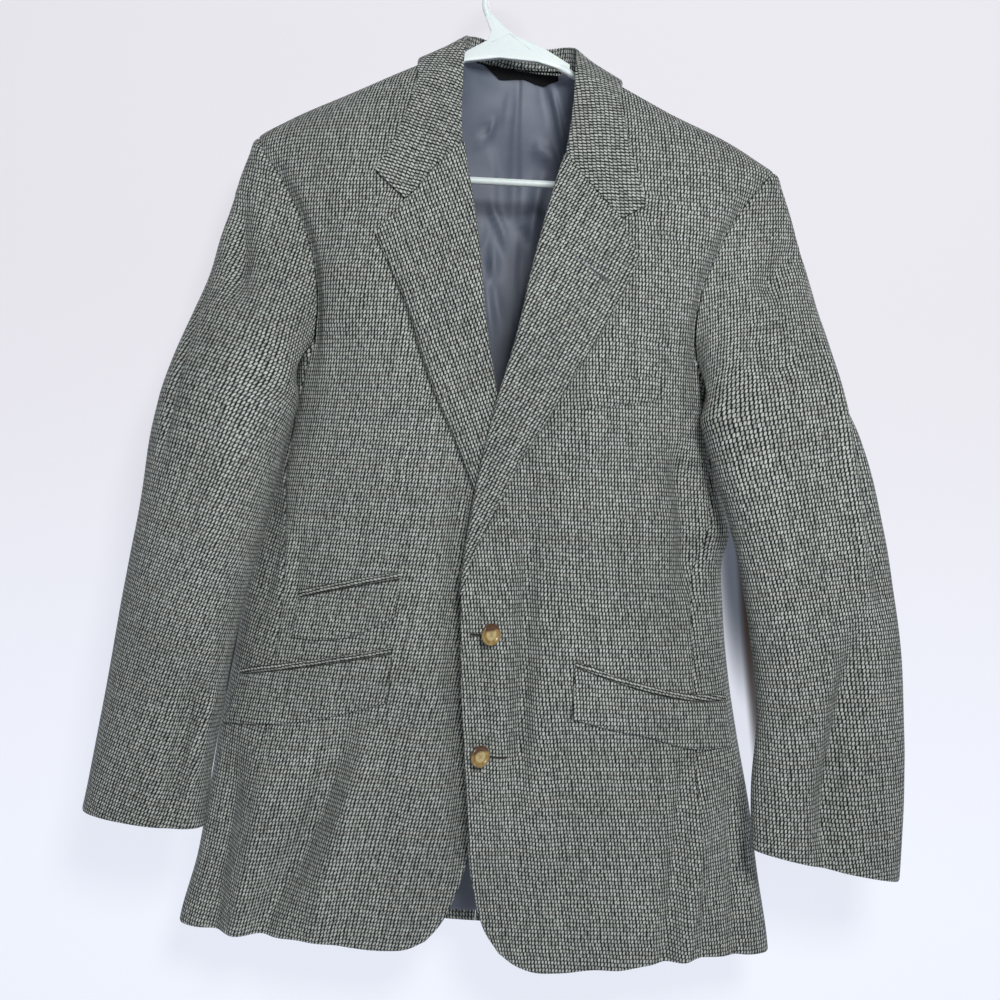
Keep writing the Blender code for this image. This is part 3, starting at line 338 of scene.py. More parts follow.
HANGER_WEB = ((-18.3, -54), (-21.5, -47.5), (-24.3, -41), (-21.5, -37), (-16, -39.5),
              (-9.5, -46), (-2.2, -52.5), (6, -57.6), (33, -68), (60, -83), (60, -92),
              (45, -86.5), (28, -82), (-8.5, -80), (-40, -85), (-60, -92), (-60, -86),
              (-46, -79), (-40, -74.5), (-21, -63.5))
WEB_ROUND = 1.0          # the rounding of the web's outline
ARM_X, ARM_Z = 58.0, -89.5      # where an arm leaves the web
ARM_ROOT = 8.0           # it starts this far inside the web
ARM_SLOPE = 26.5         # degrees
ARM_TIP_X = 206.0
BAR_Z = -199.5
# Fine raised lines moulded on the web.
HANGER_RIBS = (
    ((-0.2, -56.8), (-9, -61), (-17, -65.5)),
    ((-0.2, -56.8), (10, -63), (21.4, -71)),
)

# Worked buttonholes: their ends, and how high the thread lies on the cloth.
BUTTONHOLES = (
    ("upper_buttonhole", ((-18.5, -632.0), (-1.0, -633.6)), 0.15),
    ("lower_buttonhole", ((0.0, -743.4), (21.6, -744.9)), 0.15),
    ("lapel_buttonhole", ((70.5, -292.4), (89.0, -304.2)), 4.6),
)

STITCH_RUN = ((52.0, -278.8), (69.0, -291.0))    # up to the lapel's buttonhole
STITCH_PAIRS = 7
WORKED_STITCHES = 72     # round one buttonhole
WORKED_UNEVEN = 0.12
WORKED_GAP = 0.8         # from the slit to the thread worked over its lip

# Colours, as the cloth, horn, plastic and wall reflect light.
DASH = (0.59, 0.635, 0.612)
WARM_DASH = (0.49, 0.435, 0.36)
GROUND = (0.005, 0.0078, 0.0075)
SATIN_DEEP = (0.112, 0.135, 0.190)
SATIN_PALE = (0.165, 0.192, 0.255)
SATIN_THREAD = (0.27, 0.305, 0.37)
HORN_CREAM = (0.72, 0.60, 0.32)
HORN_PALE = (0.42, 0.30, 0.10)
HORN_TAN = (0.26, 0.165, 0.06)
HORN_DARK = (0.085, 0.030, 0.010)
WALL_COLOUR = (0.25, 0.25, 0.26)
WALL_GLOW_TOP = (0.62, 0.605, 0.655)
WALL_GLOW_FOOT = (0.695, 0.73, 0.82)
HORN_LOOKS = {
    # towards which side the button is darker, and how much darker
    "upper_button": ((-0.1, 0.99), 0.95),
    "lower_button": ((-0.3, 0.95), 0.95),
}

# The camera, the room's light, and the lamps: name, place, aim, size, power, colour.
CAMERA_PLACE = (0.01505, -1.3, -0.508)
CAMERA_TILT = 3.1
CAMERA_LENS = 48.2
ROOM_COLOUR = (0.93, 0.95, 1.0)
ROOM_LIGHT = 0.12
LIGHTS = (
    ("window", (0.33, -1.6, 0.17), (0, 0, -0.5), (0.40, 0.40), 21.0, (1.0, 0.99, 0.97)),
    ("room_front", (-0.1, -2.3, -0.4), (0, 0, -0.5), (1.2, 1.2), 3.0, (0.98, 0.99, 1.0)),
    ("rear_left", (1.2, 1.9, 0.6), (0, 0, -0.45), (1.4, 1.4), 24.0, (1.0, 0.99, 0.97)),
    ("rear_right", (-1.3, 1.7, 0.3), (0, 0, -0.5), (1.2, 1.2), 13.0, (0.97, 0.98, 1.0)),
)
# The wall's and the floor's edges, in metres.
ROOM_REACH, WALL_TOP, WALL_Y, FLOOR_Z = 4.0, 2.4, 0.098, -1.55
# Shade on the wall in the narrow gaps beside the sleeves: its middle, how it
# slants, half width, half height, depth and colour.
WALL_SHADES = (
    ((0.266, -0.550), -0.11, 0.030, 0.17, 0.93, (0.050, 0.062, 0.085)),
    ((0.287, -0.640), -0.13, 0.015, 0.22, 0.92, (0.020, 0.012, 0.007)),
    ((-0.257, -0.660), 0.06, 0.016, 0.15, 0.97, (0.010, 0.010, 0.010)),
)

# Each sheet's cut: width, length and area, in metres, and what it hangs on.
CUTS = (
    # node, width, length, area, rests on
    ("left_front", 0.289, 0.890, 0.1746, "hanger_web"),
    ("right_front", 0.279, 0.886, 0.1727, "hanger_web"),
    ("left_side_body", 0.155, 0.577, 0.0688, "left_front left_back"),
    ("right_side_body", 0.156, 0.576, 0.0697, "right_front right_back"),
    ("left_back", 0.263, 0.873, 0.1694, "hanger_web"),
    ("right_back", 0.262, 0.881, 0.1710, "hanger_web"),
    ("left_top_sleeve", 0.267, 0.683, 0.1406, "left_front left_back"),
    ("left_under_sleeve", 0.160, 0.621, 0.0693, "left_top_sleeve left_side_body"),
    ("right_top_sleeve", 0.279, 0.657, 0.1337, "right_front right_back"),
    ("right_under_sleeve", 0.150, 0.593, 0.0584, "right_top_sleeve right_side_body"),
    ("left_lapel", 0.107, 0.414, 0.0214, "left_front"),
    ("right_lapel", 0.149, 0.355, 0.0209, "right_front"),
    ("collar", 0.542, 0.147, 0.0344, "left_back right_back left_front right_front"),
    ("ticket_flap", 0.102, 0.058, 0.0039, "right_front"),
    ("ticket_jetting", 0.104, 0.010, 0.0007, "right_front"),
    ("right_hip_flap", 0.168, 0.075, 0.0074, "right_front"),
    ("right_hip_jetting", 0.160, 0.010, 0.00102, "right_front"),
    ("left_hip_flap", 0.166, 0.071, 0.0068, "left_front"),
    ("left_hip_jetting", 0.165, 0.0147, 0.00106, "left_front"),
    ("breast_welt", 0.079, 0.039, 0.0018, "left_front"),
    ("back_lining", 0.321, 0.863, 0.2575, "left_back right_back"),
    ("neck_label", 0.085, 0.020, 0.00086, "back_lining"),
)

# Folds and dents, listed one by one: where each runs, how wide it is, and how high
# its ridge stands off the plain form; a trough has a negative height.
ARMHOLE_HOLLOW = ((181, -410), (180, -368), (179, -330), (184, -297), (200, -254),
                  (221, -215), (242, -186))
BODY_CREASES = {
    # (x, z) points, width, height
    LEFT: (
        (((30, -513), (32, -598), (34, -647), (34, -720), (33, -800)), 9, -3.4),
        (((9, -560), (12, -692), (11, -802), (16, -880)), 11, 1.8),
        (((52, -600), (54, -700), (60, -900)), 16, 1.4),
        (((164, -440), (182, -526), (187, -600)), 13, -4.2),
        (((210, -760), (206, -854), (202, -901), (198, -990)), 10, 2.4),
        (((192, -715), (188, -817), (180, -990)), 9, -2.2),
        (((232, -742), (248, -875), (256, -990)), 9, -2.0),
        (((79, -405), (83, -476)), 22, 2.2),
        (((37, -470), (20, -530)), 9, -1.6),
        (((6, -628), (26, -612), (34, -590)), 6, -1.0),
        (((6, -634), (30, -645)), 5, -0.8),
        (((140, -930), (135, -1000)), 16, 2.0),
        (((112, -310), (88, -357), (58, -411), (48, -430), (27, -467), (5, -517)), 4.5,
         -1.4),
        (ARMHOLE_HOLLOW, 7, -2.4),
    ),
    RIGHT: (
        (((122, -700), (146, -787), (179, -873), (205, -925), (215, -990)), 14, -4.8),
        (((102, -730), (120, -800), (145, -900), (150, -990)), 18, 2.8),
        (((240, -738), (240, -806), (248, -882), (252, -990)), 12, -2.9),
        (((190, -745), (213, -858), (228, -990)), 15, 3.0),
        (((184, -540), (187, -620)), 8, -1.4),
        (((156, -280), (147, -370)), 26, 2.0),
        (((205, -500), (222, -640)), 12, -1.6),
        (((60, -640), (52, -760), (40, -860)), 22, 1.6),
        (((114, -300), (94, -343), (67, -413), (44, -461), (26, -500)), 4.5, -1.8),
        (ARMHOLE_HOLLOW, 7, -2.4),
    ),
}
BACK_CREASES = {
    # (x, z) points, width, height
    LEFT: (
        (((150, -240), (90, -330), (60, -420)), 20, -2.6),
        (((195, -320), (150, -420), (120, -560)), 22, 2.4),
        (((120, -600), (130, -760), (136, -990)), 20, -3.2),
        (((60, -640), (62, -800), (58, -990)), 24, 2.4),
    ),
    RIGHT: (
        (((155, -250), (100, -330), (66, -440)), 20, -2.6),
        (((195, -330), (155, -430), (130, -570)), 22, 2.2),
        (((110, -620), (122, -780), (120, -990)), 20, -3.4),
        (((40, -600), (46, -760), (50, -990)), 22, 2.0),
    ),
}
SLEEVE_CREASES = {
    # (x, z) points, width, height
    LEFT: (
        (((276, -248), (254, -276), (236, -306)), 12, -2.6),
        (((223, -336), (268, -381)), 22, -2.0),
        (((290, -310), (298, -343), (318, -425), (336, -528), (349, -600)), 9, 2.4),
        (((306, -310), (314, -342), (332, -424), (349, -527), (362, -600)), 6, -1.8),
        (((340, -600), (329, -677), (318, -759), (322, -850)), 12, -5.4),
        (((262, -560), (280, -700), (284, -800)), 18, 2.0),
    ),
    RIGHT: (
        (((263, -225), (256, -283), (250, -340)), 11, -3.0),
        (((280, -270), (287, -304), (296, -362), (303, -424), (311, -500)), 5, -1.8),
        (((262, -660), (267, -690), (273, -746), (284, -830)), 10, -3.6),
        (((250, -690), (256, -720), (264, -780)), 7, 2.2),
        (((232, -420), (250, -520), (262, -600)), 16, 1.8),
    ),
}
LINING_CREASES = (
    (((-7, -92), (-12, -150), (-10, -230)), 5, -1.8),
    (((22, -88), (30, -114), (40, -150), (46, -170)), 3.2, -2.2),
    (((28, -90), (37, -116), (47, -150)), 4, 1.6),
    (((14, -150), (30, -158), (44, -166)), 6, 1.8),
    (((30, -172), (22, -210), (18, -262)), 7, 2.2),
    (((36, -176), (34, -210), (28, -250)), 5, -2.6),
    (((-22, -120), (-19, -150), (-14, -184)), 3.5, -1.2),
    (((-44, -150), (-30, -144), (-22, -128)), 3.5, 1.3),
    (((-40, -128), (-24, -152), (-10, -172)), 4, -1.4),
    (((-26, -206), (-14, -226), (-4, -250)), 3.5, 1.5),
    (((-30, -216), (-18, -236), (-9, -262)), 3.5, -1.6),
    (((-22, -232), (-27, -255), (-33, -276)), 4, -1.6),
    (((-16, -250), (-20, -300), (-14, -350)), 6, 1.8),
    (((0, -226), (20, -246), (34, -256)), 4, -1.5),
    (((-34, -250), (-18, -290), (-8, -330)), 5, -1.6),
    (((20, -290), (12, -350), (9, -410)), 5, -1.8),
)
# Darts in the fronts, from the chest down to the pockets.
DARTS = {
    LEFT: ((92, -471), (95, -558), (98, -653)),
    RIGHT: ((95, -464), (100, -514), (106, -580)),
}
PLEAT = ((0.5, -80), (4.0, -184), (9.6, -304), (13.8, -400), (16, -560), (10, -920))

# How each panel's weave leans more than its cut would give, from its first row
# (a body panel's hem, a sleeve's head): share of the height, degrees towards the
# wearer's left, and the weave's width there.
GRAIN_LEAN = {
    "left_front": ((0, -9, 1), (0.3, -8, 1), (0.65, -4, 1), (1, 0, 1)),
    "right_front": ((0, 10, 1), (0.3, 11, 1), (0.65, 5, 1), (1, 4, 1)),
    "left_top_sleeve": ((0, 12, 0.8), (0.3, 8, 0.8), (0.7, -4, 0.92), (1, -4, 0.95)),
    "right_top_sleeve": ((0, -6, 0.8), (0.3, -3, 0.84), (0.7, 8, 1), (1, 9, 1)),
    "ticket_flap": ((0, 10, 1), (1, 10, 1)),
    "right_hip_flap": ((0, 10, 1), (1, 10, 1)),
    "left_hip_flap": ((0, -8, 1), (1, -8, 1)),
    "breast_welt": ((0, -4, 1), (1, -4, 1)),
    "left_side_body": ((0, 0, 1.1), (0.35, 0, 1.0), (0.6, 0, 0.82), (1, 0, 0.78)),
    "right_side_body": ((0, 0, 1.15), (0.35, 0, 1.0), (0.6, 0, 0.8), (1, 0, 0.76)),
}
COLLAR_EASE = {LEFT: 21.0, RIGHT: -17.0}    # degrees that the iron turned each end
COLLAR_SCALE = 0.92

# How far the cloth's edges are pressed in, and over what width.
PRESSED = {"free": (0.8, 1.0), "seam": (1.0, 2.2), "held": (0.0, 1.0),
           "inside": (0.45, 0.8)}


# ------------------------------------------------------------------ smooth interpolation
def hermite(t, start, leave, end, arrive):
    """A cubic from start to end, which leaves and arrives with the given slopes."""
    return ((1 + 2 * t) * (1 - t) ** 2 * start + t * (1 - t) ** 2 * leave
            + t * t * (3 - 2 * t) * end + t * t * (t - 1) * arrive)


def unit(vectors):
    """Vectors made one long."""
    return vectors / np.linalg.norm(vectors, axis=1)[:, None]


def distances_run(path):
    """How far along a path each of its points lies."""
    return np.r_[0, np.cumsum(np.linalg.norm(np.diff(path, axis=0), axis=1))]


def smooth_columns(rows, where):
    """Columns of a table, read smoothly at values of its first column."""
    table = np.array(rows, dtype=float)
    table = table[np.argsort(table[:, 0])]
    key, values = table[:, 0], table[:, 1:]
    slopes = np.gradient(values, key, axis=0)
    where = np.clip(np.asarray(where, dtype=float), key[0], key[-1])
    low = np.clip(np.searchsorted(key, where, side="right") - 1, 0, len(key) - 2)
    step = (key[low + 1] - key[low])[:, None]
    return hermite((where - key[low])[:, None] / step, values[low], step * slopes[low],
                   values[low + 1], step * slopes[low + 1])


def smooth_path(points, samples=240):
    """A smooth line through points, as many close samples of even spacing."""
    points = np.array(points, dtype=float)
    run = distances_run(points)
    return smooth_columns(np.column_stack([run, points]), np.linspace(0, run[-1], samples))


def along(path, fraction):
    """Points at fractions of a path's length."""
    run = distances_run(path)
    where = np.asarray(fraction) * run[-1]
    return np.column_stack([np.interp(where, run, column) for column in path.T])


def blend(low, high, value):
    """0 below low, 1 above high and a soft step between them."""
    t = np.clip((value - low) / (high - low), 0, 1)
    return t * t * (3 - 2 * t)


# ------------------------------------------------------------------ the body's skin
class Skin:
    """The outer skin of one half of the body, by girth from the centre front."""
    TOP, FOOT, STEP = -52.0, -968.0, 2.0
    ANGLES, FRACTIONS = 481, 641

    def __init__(self, side):
        self.heights = np.arange(self.FOOT, self.TOP + self.STEP, self.STEP)
        widths = smooth_columns(HALF_WIDTHS, self.heights)
        self.half = widths[:, 1 if side == LEFT else 0]
        front, back, fold = smooth_columns(DEPTHS, self.heights).T
        angle = np.linspace(0, math.pi, self.ANGLES)
        power = 2 / SECTION_ROUND
        reach = np.abs(np.sin(angle)) ** power
        depth = np.abs(np.cos(angle)) ** power
        x = self.half[:, None] * reach
        face = np.where(angle[None, :] < math.pi / 2, front[:, None], back[:, None])
        y = fold[:, None] + (face - fold[:, None]) * depth
        steps = np.hypot(np.diff(x, axis=1), np.diff(y, axis=1))
        self.girths = np.concatenate([np.zeros((len(x), 1)),
                                      np.cumsum(steps, axis=1)], axis=1)
        self.total = self.girths[:, -1]
        self.quarter = self.girths[:, self.ANGLES // 2]
        even = np.linspace(0, 1, self.FRACTIONS)
        self.x, self.y = (np.array([np.interp(even * girth[-1], girth, row)
                                    for girth, row in zip(self.girths, grid)])
                          for grid in (x, y))

    def row(self, z):
        """The row below a height, and the share of the step above that row."""
        place = (np.clip(z, self.FOOT, self.TOP) - self.FOOT) / self.STEP
        low = np.clip(place.astype(int), 0, len(self.heights) - 2)
        return low, place - low

    def read(self, grid, z, column):
        """A value of a (height, column) grid, between its own rows."""
        low, part = self.row(z)
        if grid.ndim == 1:
            return grid[low] * (1 - part) + grid[low + 1] * part
        column = np.clip(column, 0, grid.shape[1] - 1.000001)
        left = column.astype(int)
        share = column - left
        lower = grid[low, left] * (1 - share) + grid[low, left + 1] * share
        upper = grid[low + 1, left] * (1 - share) + grid[low + 1, left + 1] * share
        return lower * (1 - part) + upper * part

    def point(self, s, z):
        """Distance from the centre line, and depth, at girth s and height z."""
        column = s / self.read(self.total, z, None) * (self.FRACTIONS - 1)
        return self.read(self.x, z, column), self.read(self.y, z, column)

    def girth_at(self, x, z, face="front"):
        """The girth at which the skin is x from the centre line."""
        share = np.clip(x / self.read(self.half, z, None), -1, 1)
        angle = np.arcsin(np.abs(share) ** (SECTION_ROUND / 2)) * np.sign(share)
        if face == "back":
            angle = math.pi - angle
        column = np.abs(angle) / math.pi * (self.ANGLES - 1)
        return self.read(self.girths, z, column) * np.sign(angle)


SKIN = {side: Skin(side) for side in SIDES}


# ------------------------------------------------------------------ uneven cloth
class Unevenness:
    """Slow swells with no repeat: smooth steps between seeded random heights."""
    SIZE = 48

    def __init__(self, seed):
        self.heights = np.random.RandomState(seed).uniform(-1, 1, (self.SIZE, self.SIZE))

    def at(self, a, b):
        """The height at (a, b), in cells of the grid."""
        a, b = np.mod(a, self.SIZE), np.mod(b, self.SIZE)
        i, j = a.astype(int) % self.SIZE, b.astype(int) % self.SIZE
        f, g = a - np.floor(a), b - np.floor(b)
        f, g = f * f * (3 - 2 * f), g * g * (3 - 2 * g)
        i1, j1 = (i + 1) % self.SIZE, (j + 1) % self.SIZE
        low = self.heights[i, j] * (1 - f) + self.heights[i1, j] * f
        high = self.heights[i, j1] * (1 - f) + self.heights[i1, j1] * f
        return low * (1 - g) + high * g


BODY_SWELLS, SLEEVE_SWELLS, LINING_SWELLS = (Unevenness(seed) for seed in (11, 23, 37))


def crease_height(rows, x, z):
    """Sum of the soft ridges and troughs of a table at points (x, z)."""
    total = np.zeros_like(x)
    for points, width, height in rows:
        line = smooth_path(points, 16)
        reach = CREASE_REACH * width
        low, high = line.min(axis=0) - reach, line.max(axis=0) + reach
        close = np.flatnonzero((x > low[0]) & (x < high[0]) & (z > low[1]) & (z < high[1]))
        if len(close) == 0:
            continue
        here = np.column_stack([x[close], z[close]])
        nearest, place = np.full(len(close), FAR), np.zeros(len(close))
        for n, (first, second) in enumerate(zip(line, line[1:])):
            step = second - first
            t = np.clip(((here - first) @ step) / (step @ step), 0, 1)
            gap = np.hypot(*(here - first - t[:, None] * step).T)
            closer = gap < nearest
            nearest = np.where(closer, gap, nearest)
            place = np.where(closer, (n + t) / (len(line) - 1), place)
        fade = blend(*CREASE_COMES, place) * (1 - blend(*CREASE_GOES, place))
        total[close] += FOLD_STRENGTH * height * fade * np.exp(-(nearest / width) ** 2)
    return total


def dart_height(side, x, z):
    """A dart's sunk seam, with the cloth swelling a little on both sides of it."""
    line = smooth_path(DARTS[side], 30)[::-1]
    middle = np.interp(z, line[:, 1], line[:, 0])
    foot, top = line[0, 1], line[-1, 1]
    there = blend(foot - 4, foot + 10, z) * (1 - blend(top - 30, top + 4, z))
    groove = DART_GROOVE * np.exp(-((x - middle) / 1.6) ** 2)
    swell = DART_SWELL * np.exp(-((np.abs(x - middle) - 5) / 4) ** 2)
    return (swell - groove) * there


def swells(field, broad, fine):
    """Two sizes of unevenness together: each one's height, and where it is read."""
    return sum(height * field.at(a, b) for height, a, b in (broad, fine))


def body_relief(side, s, z):
    """How far the body's cloth stands off the plain form."""
    skin = SKIN[side]
    x = skin.point(np.abs(s), z)[0] * np.sign(s)
    front = 1 - blend(0.92, 1.08, np.abs(s) / skin.read(skin.quarter, z, None))
    past_centre = crease_height(BODY_CREASES[-side], -x, z) * (s < 40)
    height = front * (crease_height(BODY_CREASES[side], x, z) + past_centre
                      + dart_height(side, x, z))
    past_centre = crease_height(BACK_CREASES[-side], -x, z)
    height += (1 - front) * (crease_height(BACK_CREASES[side], x, z) + past_centre)
    behind = side * (s - skin.read(skin.total, z, None)) + BACK_SETBACK
    calm = 1 - 0.6 * blend(-200, -130, z)       # less uneven over the shoulders
    for share, course in ((front, side * s), (1 - front, behind)):
        height += share * calm * swells(
            BODY_SWELLS, (0.9, course / 62 + 7, z / 95), (0.35, course / 21 + 3, z / 44 + 9))
    return height


# ------------------------------------------------------------------ points on the body
def skin_point(side, s, z):
    """A point of the plain body; a negative girth is past the centre front."""
    x, y = SKIN[side].point(np.abs(s), z)
    far_x, far_y = SKIN[-side].point(np.abs(s), z)
    x, y = np.where(s < 0, (-far_x, far_y), (x, y))
    return np.column_stack([CENTRE_X + side * x, y, z])


def skin_normal(side, s, z, reach=2.5):
    """The direction out of the plain body."""
    across = skin_point(side, s + reach, z) - skin_point(side, s - reach, z)
    upward = skin_point(side, s, z + reach) - skin_point(side, s, z - reach)
    return unit(np.cross(across, upward) * side)


def on_body(side, s, z, rise):
    """A point rise millimetres outside the body's cloth."""
    rise = rise + body_relief(side, s, z)
    return skin_point(side, s, z) + skin_normal(side, s, z) * rise[:, None]


# ------------------------------------------------------------------ lines on the body
def skin_line(side, path, face="front", shift=0.0):
    """A line of (x, z) points as a function that gives girth and height."""
    def line(t):
        x, z = along(path, t).T
        return np.column_stack([SKIN[side].girth_at(x, z, face) + shift, z])
    return line


def ridge_z(side, x):
    """Height of the shoulder line at a distance from the centre line."""
    skin = SKIN[side]
    rising = skin.heights >= -200
    return np.interp(x, skin.half[rising][::-1], skin.heights[rising][::-1])


def shoulder_line(side):
    """The shoulder seam, from the neck to the tip."""
    x = np.linspace(NECK_TIP_X, SHOULDER_TIP_X, 200)
    return np.column_stack([x, ridge_z(side, x)])


def armhole(side, face):
    """Half of an armhole, from the side seam up to the shoulder tip."""
    rows = FRONT_ARMHOLE if face == "front" else BACK_ARMHOLE
    tip = shoulder_line(side)[-1]
    return smooth_path([(x, z) for z, x in rows] + [tuple(tip)])


def underarm(side, drop=0.0):
    """The armhole's lowest stretch, in girth and height, front seam to back."""
    start, end = (skin_line(side, armhole(side, face), face)(np.zeros(1))[0]
                  for face in ("front", "back"))
    stretch = [start, ((start[0] * 3 + end[0]) / 4, (start[1] + 3 * UNDERARM_Z) / 4),
               ((start[0] + end[0]) / 2, UNDERARM_Z),
               ((start[0] + end[0] * 3) / 4, (end[1] + 3 * UNDERARM_Z) / 4), end]
    return smooth_path(stretch) + (0.0, drop)


def neckline(side, face):
    """Where the collar is sewn on, as (x, z) from the centre outward."""
    rows = [(row[0], row[2]) for row in COLLAR[side] if row[8] == face]
    if face == "back":
        return [(x, z - NECK_GAP) for x, z in rows]
    line = [(x + NECK_GAP, z) for x, z in reversed(rows)]
    x, z = line[0]
    return [(x + GORGE_STEP, z - 2 * GORGE_STEP)] + line[1:]


def joined(paths, stops):
    """A boundary made of several lines, each but the last ending at its stop."""
    def line(t):
        t = np.asarray(t, dtype=float)
        points = along(paths[0], np.clip(t / stops[0], 0, 1))
        for path, low, high in zip(paths[1:], stops, [*stops[1:], 1.0]):
            part = along(path, np.clip((t - low) / (high - low), 0, 1))
            points = np.where((t > low)[:, None], part, points)
        return points
    return line


def single(path):
    """A boundary made of one line."""
    return lambda t: along(path, t)


def coons(bottom, top, left, right, u, v):
    """A patch between four boundary lines, in girth and height."""
    zero, one = np.zeros(1), np.ones(1)
    u1, v1 = u[:, None], v[:, None]
    edges = ((1 - v1) * bottom(u) + v1 * top(u)
             + (1 - u1) * left(v) + u1 * right(v))
    corners = ((1 - u1) * (1 - v1) * bottom(zero) + u1 * (1 - v1) * bottom(one)
               + (1 - u1) * v1 * top(zero) + u1 * v1 * top(one))
    return edges - corners


# ------------------------------------------------------------------ objects
def in_scene(name, data):
    """Put new data in the scene as an object."""
    made = bpy.data.objects.new(name, data)
    bpy.context.scene.collection.objects.link(made)
    return made


def corner_points(mesh):
    """The point that each face corner of a mesh stands on."""
    corners = np.zeros(len(mesh.loops), dtype=int)
    mesh.loops.foreach_get("vertex_index", corners)
    return corners


# ------------------------------------------------------------------ the flat cut
def unwrapped(points):
    """The sheet laid flat without a cut, in metres, for a (rows, columns, 3) grid."""
    rows, columns = points.shape[:2]
    mesh = bpy.data.meshes.new("paper")
    mesh.from_pydata(points.reshape(-1, 3).tolist(), [],
                     grid_quads(rows, columns, 0).tolist())
    mesh.uv_layers.new(name="cut")
    paper = in_scene("paper", mesh)
    bpy.context.view_layer.objects.active = paper
    paper.select_set(True)
    bpy.ops.object.mode_set(mode="EDIT")
    bpy.ops.mesh.select_all(action="SELECT")
    bpy.ops.uv.unwrap(method="ANGLE_BASED", margin=0.0)
    bpy.ops.object.mode_set(mode="OBJECT")
    flat = np.zeros(len(mesh.loops) * 2)
    mesh.uv_layers["cut"].data.foreach_get("uv", flat)
    laid = np.zeros((rows * columns, 2))
    laid[corner_points(mesh)] = flat.reshape(-1, 2)
    laid = laid.reshape(rows, columns, 2)
    bpy.data.objects.remove(paper)
    bpy.data.meshes.remove(mesh)
    real, drawn = (sum(np.linalg.norm(np.diff(grid, axis=n), axis=2).sum() for n in (0, 1))
                   for grid in (points, laid))
    return laid * real / drawn


def runs(points, axis):
    """Distance covered along each line of a grid, from its first point."""
    steps = np.linalg.norm(np.diff(points, axis=axis), axis=2)
    return np.insert(np.cumsum(steps, axis=axis), 0, 0.0, axis=axis)


def even_picks(run, count):
    """Indices of about count points, evenly far apart along a run."""
    near = np.searchsorted(run, np.linspace(0, run[-1], count))
    return np.unique(np.clip(np.r_[0, near, len(run) - 1], 0, len(run) - 1))


def ironed_collar(flat, share_u):
    """The collar's flat cloth, with both ends turned on the iron."""
    for side, turn in COLLAR_EASE.items():
        near = side * (share_u - 0.5)
        pivot = flat[len(flat) // 2, np.argmin(np.abs(near[0] - 0.12))]
        angle = math.radians(turn) * blend(0.04, 0.26, near)
        c, s = np.cos(angle), np.sin(angle)
        x, y = (flat - pivot).transpose(2, 0, 1)
        turned = np.stack([c * x - s * y, s * x + c * y], axis=2) + pivot
        flat = np.where((near > 0)[:, :, None], turned, flat)
    return flat * COLLAR_SCALE


def eased(flat, across, up, node):
    """The cloth as it was shrunk and drawn on the iron, after it is laid flat."""
    share_u, share_v = np.meshgrid((across - across[0]) / (across[-1] - across[0]),
                                   (up - up[0]) / (up[-1] - up[0]))
    if node == "collar":
        return ironed_collar(flat, share_u)
    if node not in GRAIN_LEAN:
        return flat
    shares, leans, widths = np.array(GRAIN_LEAN[node]).T
    slope = np.tan(np.radians(np.interp(share_v[:, 0], shares, leans)))
    middle = flat[:, :, 1].mean(axis=1)
    shift = np.r_[0, np.cumsum(0.5 * (slope[1:] + slope[:-1]) * np.diff(middle))]
    centre = flat[:, flat.shape[1] // 2, 0][:, None]
    width = np.interp(share_v[:, 0], shares, widths)[:, None]
    leaned = centre + (flat[:, :, 0] - centre) * width - shift[:, None]
    return np.stack([leaned, flat[:, :, 1]], axis=2)


def cut_from_cloth(outer, out_sign, grain):
    """Flat places for every point of a fine grid, with the weave's columns along V.

    grain is where the weave's direction is known, as shares of the grid, and that
    direction in space.
    """
    rows, columns = outer.shape[:2]
    down, over = runs(outer, 0), runs(outer, 1)
    pick_r = even_picks(down.mean(axis=1), PAPER_ROWS)
    pick_c = even_picks(over.mean(axis=0), PAPER_COLUMNS)
    coarse = outer[np.ix_(pick_r, pick_c)]
    laid = unwrapped(coarse)
    (share_u, share_v), direction = grain
    i = int(np.clip(round(share_v * (len(pick_r) - 1)), 1, len(pick_r) - 2))
    j = int(np.clip(round(share_u * (len(pick_c) - 1)), 1, len(pick_c) - 2))
    across, upward = coarse[i, j + 1] - coarse[i, j - 1], coarse[i + 1, j] - coarse[i - 1, j]
    flat_across, flat_up = laid[i, j + 1] - laid[i, j - 1], laid[i + 1, j] - laid[i - 1, j]
    turned = flat_across[0] * flat_up[1] - flat_across[1] * flat_up[0]
    if turned * out_sign < 0:
        laid = laid * np.array([-1.0, 1.0])
        flat_across, flat_up = flat_across * (-1, 1), flat_up * (-1, 1)
    parts = np.linalg.lstsq(np.column_stack([across, upward]), np.array(direction),
                            rcond=None)[0]
    vertical = flat_across * parts[0] + flat_up * parts[1]
    c, s = np.array([vertical[1], vertical[0]]) / np.linalg.norm(vertical)
    laid = laid @ np.array([[c, s], [-s, c]])
    spread = np.zeros((rows, columns, 2))
    for axis in (0, 1):
        lines = np.array([np.interp(down[:, c], down[pick_r, c], laid[:, n, axis])
                          for n, c in enumerate(pick_c)]).T
        spread[:, :, axis] = [np.interp(over[r], over[r, pick_c], lines[r])
                              for r in range(rows)]
    return spread


# ------------------------------------------------------------------ cloth meshes
def steps_between(stops, count, length, close=(0.45, 1.1, 2.2, 3.6)):
    """About count even steps that keep the stops, with close ones by both ends."""
    stops = np.asarray(stops, dtype=float)
    spans = np.diff(stops)
    shares = np.maximum(1, np.round(count * spans / spans.sum()).astype(int))
    steps = [np.linspace(low, high, n + 1)[:-1]
             for low, high, n in zip(stops, stops[1:], shares)]
    whole = stops[-1] - stops[0]
    near = np.array(close) / length * whole
    steps = np.concatenate([*steps, stops[-1:], stops[0] + near, stops[-1] - near])
    steps = np.unique(np.round(steps, 7))
    keep = np.r_[True, np.diff(steps) > 0.12 / length * whole]
    keep[-1] = True
    return steps[keep]


